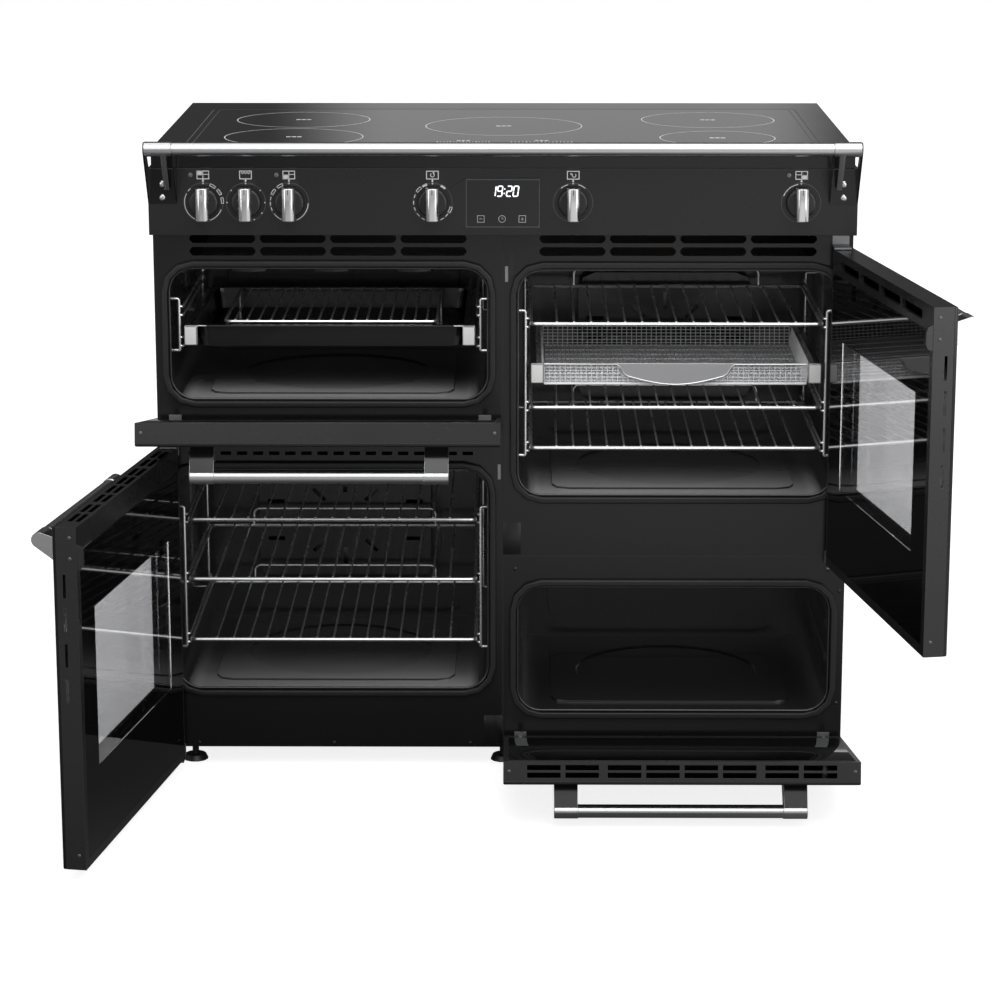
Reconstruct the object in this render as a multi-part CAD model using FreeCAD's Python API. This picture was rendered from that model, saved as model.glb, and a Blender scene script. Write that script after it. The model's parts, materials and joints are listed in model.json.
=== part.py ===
import FreeCAD, Part
import math
import os

# A free-standing electric range cooker, 1000 mm wide, with a five-zone induction hob and four ovens.
# Millimetres. X runs to the right, Y to the back, Z up from the floor.
# Every height and depth below is counted from the floor and from the front face of the oven frames.

# Overall
cooker_width = 1000.0
hob_height = 925.0
body_depth = 550.0
foot_height = 31.0

# Sheet metal
panel_sheet = 1.2
frame_sheet = 1.5
liner_sheet = 1.2
panel_flange = 10.8

# Control fascia
fascia_bottom = 802.5
fascia_height = 95.0
fascia_proud = 45.0
fascia_sheet = 2.0
display_size = (104.0, 68.0)
display_thickness = 3.0
lamp_radius = 3.0
lamp_rise = 39.0
lamp_shift = 17.5

# Knobs and their switches: distance of each knob from the middle of the fascia
knob_places = (-422.0, -362.0, -301.0, -99.0, 99.0, 420.0)
lamp_knobs = (0, 2, 5)
knob_rise = 46.5
knob_skirt_radius = 21.5
knob_skirt_depth = 9.0
knob_grip = (19.4, 46.0)
knob_depth = 29.0
knob_gap = 1.0
shaft_radius = 3.0
shaft_reach = 12.0
shaft_clearance = 0.06
switch_size = (34.0, 28.0, 34.0)

# Hob
hob_side_inset = 5.0
hob_back_inset = 7.0
hob_sheet = 2.0
glass_size = (902.0, 475.0)
glass_front = -20.0
glass_thickness = 4.0
glass_corner = 12.0
glass_clearance = 0.5
glass_ledge = 9.0
zones = (
    (-303.0, 311.0, 100.0),
    (-303.0, 95.0, 100.0),
    (0.0, 230.0, 116.0),
    (308.0, 311.0, 100.0),
    (309.0, 85.0, 83.0),
)
coil_thickness = 7.0
coil_bore = 28.0
coil_margin = 4.0
coil_gap = 3.0
tray_sheet = 1.5

# Oven openings: column (-1 left, 1 right), bottom and top
openings = {
    "top_left": (-1, 556.0, 750.0),
    "bottom_left": (-1, 121.0, 455.0),
    "top_right": (1, 414.0, 748.0),
    "bottom_right": (1, 87.0, 279.0),
}
opening_width = 460.0
opening_corner = 36.0
cavity_depth = 400.0
liner_flange = 6.0
floor_plateau = (178.0, 42.0, 366.0)
floor_plateau_corner = 26.0
floor_plateau_rise = 3.0
floor_dish_radius = 140.0
floor_dish_depth = 2.2
back_panel_rise = 5.0
back_panel_margin = (50.0, 34.0)
fan_panel_margin = (80.0, 62.0)
side_rib_length = 300.0
side_rib_height = 14.0
side_rib_rise = 3.0
seal_width = 10.0
seal_proud = 8.5
seal_inset = 0.5

# Front frames
frame_split = 324.0
vent_slot = (94.0, 12.4)
vent_pitch = 100.5
vent_count = 4
vent_rows = (772.5, 790.9)
small_vent = (15.0, 5.0)
small_vent_pitch = 23.4
small_vent_count = 18
small_vent_row = 477.0
post_width = 24.0
post_depth = 30.0
rail_height = 26.0

# Doors: bottom and top of each leaf
leaf_heights = {
    "top_left": (499.0, 780.0),
    "bottom_left": (20.0, 489.5),
    "top_right": (316.5, 780.0),
    "bottom_right": (20.0, 311.5),
}
leaf_side_gap = 4.0
leaf_gap = 12.0
leaf_thickness = 32.5
leaf_sheet = 1.5
outer_panel_thickness = 5.0
outer_panel_round = 1.5
leaf_corner = 10.0
drop_leaf_corner = 6.0
inner_glass_thickness = 4.0
inner_glass_inset = 13.0
inner_glass_top_inset = 34.0
inner_glass_clearance = 0.3
glass_land = 16.0
pane_thickness = 4.0
pane_lap = 12.0
window_side_margin = 73.0
window_bottom_margin = 126.0
window_top_margin = 124.0
edge_slot = (32.0, 4.0)
edge_slot_shift = 4.0
edge_slot_drops = (79.5, 125.0, 173.5, 222.0)
top_slot = (46.5, 7.4)
top_slot_rows = 10.7
top_slot_gap = 6.7
top_slot_group_gap = 12.2
top_slot_count = 8
top_slot_groups = (1, 5)
strip_slot = (94.0, 13.0)

# Hinges
side_pivot_inset = 15.0
side_pivot_back = 25.0
side_open_angle = 99.7
drop_pivot_rise = 18.0
drop_pivot_back = 30.0
drop_open_angle = 79.5
pin_radius = 5.0
pin_clearance = 0.06
pin_reach = 12.0
pin_boss_radius = 8.5
bracket_thickness = 2.4
bracket_gap = 1.2
bracket_flange = 2.0
bracket_height = 17.0
bracket_width = 24.0
drop_pin_radius = 4.0
drop_ear_thickness = 4.0
drop_ear_radius = 9.0
drop_ear_inset = 24.0
drop_ear_clearance = 1.5
drop_cheek = 7.0
catch_size = (4.5, 9.0, 34.0)
catch_drop = 40.0

# Handles and the rail under the hob
handle_length = 354.0
handle_stand_off = 42.0
handle_drop = 37.0
handle_radius = 9.5
handle_cap_radius = 10.5
handle_cap_length = 34.0
handle_foot = (1.5, 42.0)
rail_length = 1000.0
rail_stand_off = 45.0
rail_centre = 930.0
rail_foot = (33.5, 82.5)
rail_cap_length = 39.5
side_cap_thickness = 1.5
seat_clearance = 0.2

# Shelves, ladders and runners
shelf_side_gap = 17.0
shelf_back_gap = 50.0
shelf_front = 15.0
shelf_bar = 6.0
shelf_wire = 3.2
shelf_thickness = 5.0
shelf_wire_count = 15
shelf_end_gap = 40.8
upstand_inset = 70.5
upstand_height = 28.0
upstand_bend = 9.0
ladder_rod = 5.0
ladder_wall_gap = 17.5
ladder_front = 22.0
ladder_back_gap = 32.0
rung_clearance = 0.3
rung_spacing = 12.6
shelf_levels = {
    "top_left": (),
    "bottom_left": (191.0, 283.0, 373.0),
    "top_right": (481.0, 541.0, 664.0),
}
spare_levels = {
    "top_left": (637.0, 682.0),
    "bottom_left": (),
    "top_right": (),
}
slide_depth = 322.0
slide_height = 22.0
slide_front = 12.0
slide_width = 11.0
slide_cap = (18.0, 10.0, 27.5)
slide_cap_lap = 1.6
slide_gap = 0.4
slide_ledge = 5.4
slide_wall = 1.5
channel_wall = 1.2

# Basket, grill pan and trivet
basket_rim_height = 606.0
basket_height = 33.0
basket_depth = 316.0
basket_sheet = 1.2
basket_corner = 20.0
basket_rim_thickness = 2.5
basket_plate = (171.0, 27.0)
pan_rim_height = 661.0
pan_height = 32.0
pan_depth = 336.0
pan_sheet = 1.2
pan_corner = 24.0
tray_side_gap = 1.5
trivet_side_gap = 39.0
trivet_end_gap = 25.0
trivet_height = 668.0
trivet_wire_count = 17

# Fans, elements and lamps
fan_radius = 76.0
fan_depth = 14.0
fan_blades = 7
fan_gap = 4.0
fan_shaft_radius = 4.0
fan_shaft_reach = 22.0
fan_bush_clearance = 0.06
motor_radius = 40.0
motor_depth = 62.0
ring_radius = 95.0
element_radius = 3.3
element_clearance = 0.4
fan_cover_margin = (15.0, 3.0)
fan_cover_back = 32.0
fan_cover_slots = 8
fan_cover_slot = (26.0, 6.0)
fan_cover_ring = 58.0
fan_cover_sheet = 1.2
fan_cover_corner = 26.0
fan_cover_side_slots = 3
fan_cover_side_pitch = 30.0
grill_drop = 16.0
grill_span = (300.0, 250.0)
grill_bend = 24.0
grill_runs = 6
lamp_glass_radius = 18.0
lamp_glass_depth = 9.0
lamp_offset = (20.0, 31.0)

# Feet and inlet
foot_places = (460.0, 0.0, -460.0)
foot_inset = (40.0, 42.0)
foot_radius = 19.0
foot_disc = 8.0
stem_radius = 5.0
stem_clearance = 0.2
nut_width = 17.0
nut_height = 8.0
stem_above = 14.0
inlet_place = (380.0, 140.0)
inlet_size = (110.0, 76.0, 45.0)
gland_radius = 10.0
gland_wall = 5.0
gland_length = 20.0
louvre_level = 640.0
louvre = (60.0, 5.0)
louvre_pitch = (80.0, 14.0)
louvre_grid = (2, 3)

# How finely curves are drawn: chords per quarter turn of a corner, and flat sides of round pieces
corner_steps = 3
small_steps = 2
nose_steps = 3
plate_steps = 10
ring_steps = 16
round_sides = 12
disc_sides = 14
emboss_sides = 24
wire_sides = 6
hole_sides = 8

# Round share of a slot's end
slot_end = 0.7

# Which ovens have what
fan_ovens = ("bottom_left", "top_right")
grill_oven = "top_left"
vented_leaves = ("bottom_left", "bottom_right")

# Sizes that follow
half_width = cooker_width / 2
column_centre = cooker_width / 4
fascia_top = fascia_bottom + fascia_height
fascia_front = -fascia_proud
inner_face = -leaf_gap
outer_face = -leaf_gap - leaf_thickness
tray_front = outer_face + outer_panel_thickness
body_back = body_depth - panel_sheet
cavity_back = frame_sheet + cavity_depth
half_opening = opening_width / 2
leaf_width = cooker_width / 2 - leaf_side_gap
shelf_width = opening_width - 2 * shelf_side_gap
shelf_depth = cavity_depth - shelf_front - shelf_back_gap
shelf_wire_pitch = (shelf_width - 2 * shelf_end_gap) / (shelf_wire_count - 1)
ladder_back = cavity_depth - ladder_back_gap


def point(x, y, z):
    return FreeCAD.Vector(x, y, z)


along_x = point(1, 0, 0)
along_y = point(0, 1, 0)
along_z = point(0, 0, 1)


def block(low, high):
    """A box between two corners."""
    size = high - low
    return Part.makeBox(size.x, size.y, size.z, low)


def joined(shapes):
    """One solid from shapes that touch or pass through each other."""
    shapes = list(shapes)
    return shapes[0].fuse(shapes[1:]).removeSplitter()


def round_corners(u0, u1, v0, v1, radius, steps):
    """The corner points of a rectangle with round corners, drawn with short chords."""
    centres = (
        (u1 - radius, v1 - radius, 0.0),
        (u0 + radius, v1 - radius, 0.5),
        (u0 + radius, v0 + radius, 1.0),
        (u1 - radius, v0 + radius, 1.5),
    )
    points = []
    for cu, cv, start in centres:
        for step in range(steps + 1):
            angle = math.pi * (start + 0.5 * step / steps)
            points.append((cu + radius * math.cos(angle), cv + radius * math.sin(angle)))
    return points


def round_outline(x0, x1, z0, z1, radius, y, steps):
    """A rectangle with round corners that faces the front."""
    points = [point(x, y, z) for x, z in round_corners(x0, x1, z0, z1, radius, steps)]
    return Part.makePolygon(points + points[:1])


def round_block(x0, x1, z0, z1, radius, y0, y1, steps=small_steps):
    """A block with four round edges that run from front to back."""
    outline = round_outline(x0, x1, z0, z1, radius, y0, steps)
    return Part.Face(outline).extrude(point(0, y1 - y0, 0))


def slot_block(x, z, size, y0, y1):
    """A slot with round ends, centred on a point of the front."""
    length, height = size
    radius = height / 2
    return round_block(x - length / 2, x + length / 2, z - radius, z + radius, radius * slot_end, y0, y1, 1)


def ring_corners(centre, direction, radius, sides):
    """The corners of a regular polygon across a direction."""
    axis = FreeCAD.Vector(direction).normalize()
    reference = along_z if abs(axis.z) < 0.9 else along_x
    side = axis.cross(reference).normalize()
    up = axis.cross(side)
    corners = []
    for number in range(sides):
        angle = 2 * math.pi * (number + 0.5) / sides
        corners.append(centre + side * radius * math.cos(angle) + up * radius * math.sin(angle))
    return corners


def rod(start, end, radius, sides=round_sides):
    """A straight rod with a fixed number of flat sides, its corners on the radius."""
    corners = ring_corners(start, end - start, radius, sides)
    return Part.Face(Part.makePolygon(corners + corners[:1])).extrude(end - start)


def cone(start, end, radius, end_radius, sides):
    """A straight rod that narrows or widens."""
    axis = end - start
    return skinned([ring_corners(start, axis, radius, sides), ring_corners(end, axis, end_radius, sides)])


def hole(start, end, radius, sides=hole_sides):
    """A hole whose flat sides touch the radius."""
    return rod(start, end, radius / math.cos(math.pi / sides), sides)


def bore(start, end, radius):
    """A truly round bore, for what fits in it."""
    axis = end - start
    return Part.makeCylinder(radius, axis.Length, start, axis)


def bent_path(points, bend, steps):
    """Corners of straight runs joined by chords of tangent arcs of one radius."""
    path = [points[0]]
    for before, corner, after in zip(points, points[1:], points[2:]):
        back = (before - corner).normalize()
        on = (after - corner).normalize()
        half = back.getAngle(on) / 2
        inward = (back + on).normalize()
        centre = corner + inward * (bend / math.sin(half))
        normal = back.cross(on).normalize()
        spoke = corner + back * (bend / math.tan(half)) - centre
        across = normal.cross(spoke)
        turn = math.pi - 2 * half
        for step in range(steps + 1):
            angle = -turn * step / steps
            path.append(centre + spoke * math.cos(angle) + across * math.sin(angle))
    return path + [points[-1]]


def skinned(rings, closed=False):
    """A solid with flat faces between rings of corners, capped at its ends unless it closes on itself."""
    faces = []
    pairs = list(zip(rings, rings[1:]))
    if closed:
        pairs.append((rings[-1], rings[0]))
    else:
        faces += [Part.Face(Part.makePolygon(ring + ring[:1])) for ring in (rings[0], rings[-1])]
    for one, other in pairs:
        count = len(one)
        for i in range(count):
            j = (i + 1) % count
            faces.append(Part.Face(Part.makePolygon([one[i], one[j], other[j], other[i], one[i]])))
    solid = Part.Solid(Part.Shell(faces))
    if solid.Volume < 0:
        solid.reverse()
    return solid


def mitred(corners, centre, along, on):
    """Corners carried along a straight run to the plane that halves the next bend."""
    normal = along + on
    return [c + along * ((centre - c).dot(normal) / along.dot(normal)) for c in corners]


def bent_rod(points, radius, bend, sides=wire_sides, steps=small_steps):
    """A rod bent along a path."""
    path = bent_path(points, bend, steps)
    runs = [(b - a).normalize() for a, b in zip(path, path[1:])]
    rings = [ring_corners(path[0], runs[0], radius, sides)]
    for number, here in enumerate(path[1:]):
        on = runs[min(number + 1, len(runs) - 1)]
        rings.append(mitred(rings[-1], here, runs[number], on))
    return skinned(rings)


def ring_rod(centre, axis, ring, radius, sides, steps):
    """A rod bent into a closed ring."""
    path = ring_corners(centre, axis, ring, steps)
    runs = [(b - a).normalize() for a, b in zip(path, path[1:] + path[:1])]
    last = ring_corners((path[-1] + path[0]) * 0.5, runs[-1], radius, sides)
    rings = [mitred(last, path[0], runs[-1], runs[0])]
    for number in range(1, steps):
        rings.append(mitred(rings[-1], path[number], runs[number - 1], runs[number]))
    return skinned(rings, True)


def mirrored(shape, x):
    """The mirror image of a shape about an upright plane."""
    return shape.mirror(point(x, 0, 0), along_x)


def column_x(oven):
    return openings[oven][0] * column_centre


def opening_block(oven, grow, y0, y1):
    """The space of an oven's opening, grown on every side."""
    x = column_x(oven)
    side, z0, z1 = openings[oven]
    half = half_opening + grow
    corner = opening_corner + grow
    return round_block(x - half, x + half, z0 - grow, z1 + grow, corner, y0, y1, corner_steps)


# Body


def foot_points():
    """The middle of each foot, on the floor."""
    rows = (foot_inset[0], body_depth - foot_inset[1])
    return [point(x, y, 0) for x in foot_places for y in rows]


def chassis():
    """Base tray with upturned edges, centre post and the cross rails behind the front frames."""
    edge = half_width - panel_sheet
    top = foot_height + panel_sheet
    tray = block(point(-edge, frame_sheet, foot_height), point(edge, body_back, foot_height + 26))
    hollow = block(
        point(-edge + panel_sheet, frame_sheet + panel_sheet, top),
        point(edge - panel_sheet, body_back - panel_sheet, foot_height + 40),
    )
    tray = tray.cut(hollow)
    stem_room = stem_radius + stem_clearance
    tray = tray.cut([hole(p + along_z * 20, p + along_z * 60, stem_room) for p in foot_points()])
    post_half = post_width / 2
    post = block(point(-post_half, frame_sheet, top), point(post_half, frame_sheet + post_depth, fascia_bottom))
    post_hollow = block(
        point(-post_half + panel_sheet, frame_sheet + panel_sheet, top - 1),
        point(post_half - panel_sheet, frame_sheet + post_depth + 1, fascia_bottom + 1),
    )
    left_middle = (openings["top_left"][1] + openings["bottom_left"][2]) / 2
    right_middle = frame_split + rail_height * 0.1
    parts = [tray, post.cut(post_hollow)]
    for side, middle in ((-1, left_middle), (1, right_middle)):
        parts.append(cross_rail(side, middle, post_half, edge))
    return joined(parts)


def cross_rail(side, middle, inner, outer):
    """A channel from the centre post to the side panel, open to the back."""
    x0, x1 = sorted((side * inner, side * (outer - panel_flange)))
    rail = block(
        point(x0, frame_sheet, middle - rail_height / 2),
        point(x1, frame_sheet + 14, middle + rail_height / 2),
    )
    hollow = block(
        point(x0 - 1, frame_sheet + panel_sheet, middle - rail_height / 2 + panel_sheet),
        point(x1 + 1, frame_sheet + 20, middle + rail_height / 2 - panel_sheet),
    )
    return rail.cut(hollow)


def side_panel():
    """Left outer panel with its folded front, back and top edges."""
    x = -half_width
    inside = x + panel_sheet + panel_flange
    outer = block(point(x, frame_sheet, foot_height), point(inside, body_back, fascia_top))
    hollow = block(
        point(x + panel_sheet, frame_sheet + panel_sheet, foot_height - 1),
        point(x + 40, body_back - panel_sheet, fascia_top - panel_sheet),
    )
    base_room = block(
        point(x + panel_sheet, 0, foot_height - 1),
        point(x + 40, body_depth, foot_height + 26),
    )
    fascia_room = block(
        point(x - 1, -1, fascia_bottom),
        point(x + 40, frame_sheet + panel_sheet + 0.5, fascia_top + 1),
    )
    return outer.cut([hollow, base_room, fascia_room])


def side_panels():
    left = side_panel()
    return [left, mirrored(left, 0)]


def back_panel():
    """Rear sheet with a top flange, four groups of louvres and the opening for the inlet."""
    sheet = block(point(-half_width, body_back, foot_height), point(half_width, body_depth, fascia_top))
    flange = block(
        point(-half_width + 20, body_back - 16, fascia_top - panel_sheet),
        point(half_width - 20, body_back, fascia_top),
    )
    cuts = [inlet_opening()]
    for side in (-1, 1):
        cuts += louvre_cuts(side * column_centre, louvre_level)
    return joined([sheet, flange]).cut(cuts)


def louvre_cuts(x, z):
    """A grid of slots through the back panel."""
    columns, rows = louvre_grid
    cuts = []
    for column in range(columns):
        for row in range(rows):
            cx = x + (column - (columns - 1) / 2) * louvre_pitch[0]
            cz = z + (row - (rows - 1) / 2) * louvre_pitch[1]
            low = point(cx - louvre[0] / 2, body_back - 2, cz - louvre[1] / 2)
            cuts.append(block(low, low + point(louvre[0], panel_sheet + 4, louvre[1])))
    return cuts


def inlet_opening():
    x, z = inlet_place
    width, height, depth = inlet_size
    low = point(x - width / 2, body_back - 1, z - height / 2)
    return block(low, low + point(width, panel_sheet + 2, height))


def mains_inlet():
    """Terminal box set into the back panel, with an open gland for the supply cable."""
    x, z = inlet_place
    width, height, depth = inlet_size
    low = point(x - width / 2, body_depth - depth, z - height / 2)
    shell = block(low, low + point(width, depth, height))
    wall = 2.0
    hollow = block(low + point(wall, wall, wall), low + point(width - wall, depth - wall, height - wall))
    collar = rod(point(x, body_depth - gland_length, z), point(x, body_depth, z), gland_radius + gland_wall)
    opening = bore(point(x, body_depth - gland_length - 1, z), point(x, body_depth + 1, z), gland_radius)
    return joined([shell.cut(hollow), collar]).cut(opening)


def levelling_feet():
    """Each foot has a tapered disc, a stem through the base and a hexagonal collar under it."""
    solids = []
    for p in foot_points():
        disc_top = p + along_z * foot_disc
        nut_low = p + along_z * (foot_height - nut_height)
        nut_top = p + along_z * foot_height
        solids.append(cone(p, disc_top, foot_radius, foot_radius * 0.8, round_sides))
        solids.append(rod(disc_top, nut_low, stem_radius, wire_sides))
        solids.append(rod(nut_low, nut_top, nut_width / math.sqrt(3), wire_sides))
        solids.append(rod(nut_top, nut_top + along_z * stem_above, stem_radius, wire_sides))
    return solids


# Front frames, liners and seals


def vent_cuts(x):
    """Two rows of long slots under the fascia."""
    cuts = []
    for z in vent_rows:
        for number in range(vent_count):
            cx = x + (number - (vent_count - 1) / 2) * vent_pitch
            cuts.append(slot_block(cx, z, vent_slot, -1, frame_sheet + 1))
    return cuts


def catch_cut(oven):
    """The slot in the frame behind a side door's catch."""
    side = openings[oven][0]
    z = leaf_heights[oven][1] - catch_drop
    x = side * (cooker_width / 2 - leaf_width) / 2 + side * (1 + catch_size[0] / 2)
    low = point(x - catch_size[0] / 2, -1, z - catch_size[2] / 3)
    return block(low, low + point(catch_size[0], frame_sheet + 2, catch_size[2] / 1.5))


def front_frame_left():
    """One plate behind both left doors, with two oven openings."""
    plate = block(point(-half_width, 0, foot_height), point(0, frame_sheet, fascia_bottom))
    cuts = [opening_block(oven, 0, -1, frame_sheet + 1) for oven in ("top_left", "bottom_left")]
    cuts += vent_cuts(-column_centre)
    cuts.append(catch_cut("bottom_left"))
    for number in range(small_vent_count):
        x = -column_centre + (number - (small_vent_count - 1) / 2) * small_vent_pitch
        low = point(x - small_vent[0] / 2, -1, small_vent_row - small_vent[1] / 2)
        cuts.append(block(low, low + point(small_vent[0], frame_sheet + 2, small_vent[1])))
    return plate.cut(cuts)


def front_frame_right(upper):
    """The plate round the upper or the lower right oven."""
    oven = "top_right" if upper else "bottom_right"
    z0, z1 = (frame_split, fascia_bottom) if upper else (foot_height, frame_split)
    plate = block(point(0, 0, z0), point(half_width, frame_sheet, z1))
    cuts = [opening_block(oven, 0, -1, frame_sheet + 1)]
    if upper:
        cuts += vent_cuts(column_centre)
        cuts.append(catch_cut(oven))
    return plate.cut(cuts)


def oven_liner(oven, has_fan):
    """Enamelled liner with a pressed floor, a raised back panel and a front flange."""
    x = column_x(oven)
    side, z0, z1 = openings[oven]
    wall = liner_sheet
    shell = joined([
        opening_block(oven, wall, frame_sheet, cavity_back + wall),
        opening_block(oven, wall + liner_flange, frame_sheet, frame_sheet + wall),
    ])
    shell = shell.cut(opening_block(oven, 0, frame_sheet - 1, cavity_back))
    mx, mz = fan_panel_margin if has_fan else back_panel_margin
    panel = (x - half_opening + mx, x + half_opening - mx, z0 + mz, z1 - mz)
    raised = [
        floor_emboss(x, z0),
        round_block(*panel, 20, cavity_back - back_panel_rise, cavity_back),
    ]
    cuts = []
    if has_fan:
        z = (z0 + z1) / 2
        cuts.append(hole(point(x, cavity_back - 20, z), point(x, cavity_back + 20, z), fan_shaft_radius + 4))
    elif oven == grill_oven:
        for way in (-1, 1):
            end = point(x + way * grill_span[0] / 2, cavity_back - 5, z1 - grill_drop)
            cuts.append(hole(end, end + along_y * 20, element_radius + element_clearance))
    if oven not in shelf_levels:
        for level in (z0 + (z1 - z0) * 0.36, z0 + (z1 - z0) * 0.64):
            raised += [side_rib(x, way, level) for way in (-1, 1)]
    return joined([shell] + raised).cut(cuts)


def floor_emboss(x, floor):
    """A plateau pressed up from an oven's floor, with a round dish in its middle."""
    half, y0, y1 = floor_plateau
    plateau = flat_plate(x - half, x + half, y0, y1, floor_plateau_corner, floor, floor + floor_plateau_rise)
    middle = point(x, (y0 + y1) / 2, floor + floor_plateau_rise)
    low = middle - along_z * floor_dish_depth
    dish = cone(low, middle, floor_dish_radius - floor_dish_depth, floor_dish_radius, emboss_sides)
    return plateau.cut(dish)


def side_rib(x, way, level):
    """A rib pressed along a side wall."""
    wall_x = x + way * half_opening
    tip_x = wall_x - way * side_rib_rise
    half = side_rib_height / 2
    y0 = (cavity_depth - side_rib_length) / 2
    outline = Part.makePolygon([
        point(wall_x, y0, level - half),
        point(wall_x, y0, level + half),
        point(tip_x, y0, level + half - side_rib_rise),
        point(tip_x, y0, level - half + side_rib_rise),
        point(wall_x, y0, level - half),
    ])
    return Part.Face(outline).extrude(point(0, side_rib_length, 0))


def door_seals():
    """A soft seal round each opening, lying on the front frame."""
    seals = []
    for oven in openings:
        ring = opening_block(oven, seal_width, -seal_proud, 0)
        seals.append(ring.cut(opening_block(oven, seal_inset, -seal_proud - 1, 1)))
    return seals


# Fascia, knobs and display


def control_fascia():
    """Folded front cover with holes for the switch shafts, the lamps and the display."""
    z0, z1 = fascia_bottom, fascia_top
    shell = block(point(-half_width, fascia_front, z0), point(half_width, frame_sheet, z1))
    hollow = block(
        point(-half_width + fascia_sheet, fascia_front + fascia_sheet, z0 + fascia_sheet),
        point(half_width - fascia_sheet, frame_sheet + 1, z1 - fascia_sheet),
    )
    cuts = [hollow]
    for number, x in enumerate(knob_places):
        z = fascia_bottom + knob_rise
        cuts.append(hole(point(x, fascia_front - 1, z), point(x, fascia_front + 5, z), shaft_radius + 1))
        if number in lamp_knobs:
            lamp = point(x - lamp_shift, fascia_front - 1, fascia_bottom + knob_rise + lamp_rise)
            cuts.append(rod(lamp, lamp + along_y * 6, lamp_radius, hole_sides))
    dx, dz = display_size[0] / 2, display_size[1] / 2
    middle = fascia_bottom + fascia_height / 2
    cuts.append(
        block(point(-dx, fascia_front - 1, middle - dz), point(dx, fascia_front + fascia_sheet + 1, middle + dz))
    )
    return shell.cut(cuts)


def display_window():
    """Dark window that fills the fascia's cut-out, and the small lamp lenses."""
    dx, dz = display_size[0] / 2, display_size[1] / 2
    middle = fascia_bottom + fascia_height / 2
    solids = [block(
        point(-dx, fascia_front, middle - dz),
        point(dx, fascia_front + display_thickness, middle + dz),
    )]
    for number in lamp_knobs:
        lamp = point(knob_places[number] - lamp_shift, fascia_front, fascia_bottom + knob_rise + lamp_rise)
        solids.append(rod(lamp, lamp + along_y * 4, lamp_radius - 0.05, hole_sides))
    return solids


def knob(x):
    """Tapered skirt with a raised grip bar and a notch, on the spindle of its switch."""
    z = fascia_bottom + knob_rise
    back = fascia_front - knob_gap
    front = back - knob_skirt_depth
    skirt = cone(point(x, back, z), point(x, front, z), knob_skirt_radius, knob_skirt_radius - 1.5, disc_sides)
    half_grip, half_height = knob_grip[0] / 2, knob_grip[1] / 2
    grip = round_block(
        x - half_grip, x + half_grip, z - half_height, z + half_height, 3.0, back - knob_depth, back - 3, 1
    )
    rim = [e for e in grip.Edges if abs(e.BoundBox.YMax - (back - knob_depth)) < 0.01]
    grip = grip.makeChamfer(1.2, rim)
    notch = block(
        point(x - 0.8, back - knob_depth - 1, z + half_height - 7),
        point(x + 0.8, back - knob_depth + 2, z + half_height + 1),
    )
    spindle = rod(point(x, back, z), point(x, switch_front() + shaft_reach, z), shaft_radius, wire_sides)
    return [joined([skirt, grip]).cut(notch), spindle]


def switch_front():
    return fascia_front + fascia_sheet


def control_electronics():
    """A rotary switch with a bush for each knob's spindle, and the board behind the display."""
    solids = []
    z = fascia_bottom + knob_rise
    body_front = switch_front()
    for x in knob_places:
        body = block(
            point(x - switch_size[0] / 2, body_front, z - switch_size[2] / 2),
            point(x + switch_size[0] / 2, body_front + switch_size[1], z + switch_size[2] / 2),
        )
        bush = hole(
            point(x, body_front - 1, z), point(x, body_front + shaft_reach + 1, z), shaft_radius + shaft_clearance
        )
        solids.append(body.cut(bush))
    board_front = fascia_front + display_thickness
    middle = fascia_bottom + fascia_height / 2
    board = block(point(-58, board_front, middle - 38), point(58, board_front + 1.6, middle + 38))
    housing = block(point(-50, board_front + 1.6, middle - 30), point(50, board_front + 16, middle + 30))
    solids.append(joined([board, housing]))
    return solids


# Hob


def hob_surround():
    """Top frame with turned-down edges and a ledge that carries the glass."""
    x = half_width - hob_side_inset
    back = body_depth - hob_back_inset
    shell = block(point(-x, fascia_front, fascia_top), point(x, back, hob_height))
    hollow = block(
        point(-x + hob_sheet, fascia_front + hob_sheet, fascia_top - 1),
        point(x - hob_sheet, back - hob_sheet, hob_height - hob_sheet - glass_thickness),
    )
    recess = glass_block(glass_clearance, hob_height - glass_thickness, hob_height + 1)
    window = glass_block(-glass_ledge, fascia_top, hob_height + 1)
    return shell.cut([hollow, recess, window])


def glass_block(grow, z0, z1):
    """The plan of the hob glass, grown all round, between two heights."""
    x = glass_size[0] / 2 + grow
    y0 = glass_front - grow
    y1 = glass_front + glass_size[1] + grow
    outline = round_outline(-x, x, y0, y1, max(glass_corner + grow, 2.0), 0, small_steps)
    face = Part.Face(outline)
    face.rotate(point(0, 0, 0), along_x, -90)
    face.translate(point(0, 0, z0 - face.BoundBox.ZMin))
    return face.extrude(along_z * (z1 - z0))


def hob_glass():
    return glass_block(0, hob_height - glass_thickness, hob_height)


def induction_coils():
    """A flat coil under each zone, on one support tray that rests on the body's flanges."""
    glass_under = hob_height - glass_thickness - coil_gap
    coil_low = glass_under - coil_thickness
    tray_edge = half_width - hob_side_inset - hob_sheet
    tray = block(
        point(-tray_edge, 20, fascia_top),
        point(tray_edge, body_depth - hob_back_inset - hob_sheet, fascia_top + tray_sheet),
    )
    parts = [tray]
    for x, y, radius in zones:
        low = point(x, y, fascia_top + tray_sheet)
        ring = rod(low, point(x, y, glass_under), radius - coil_margin, disc_sides)
        parts.append(ring)
    body = joined(parts)
    bores = [hole(point(x, y, coil_low), point(x, y, glass_under + 1), coil_bore) for x, y, radius in zones]
    return body.cut(bores)


# Bars with shaped arms


def tangent_point(outside, centre, radius, way):
    """Where a line from an outside point touches a circle in the Y-Z plane."""
    to_centre = centre - outside
    distance = to_centre.Length
    angle = math.atan2(to_centre.z, to_centre.y) + way * math.asin(radius / distance)
    reach = math.sqrt(distance ** 2 - radius ** 2)
    return outside + point(0, reach * math.cos(angle), reach * math.sin(angle))


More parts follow.
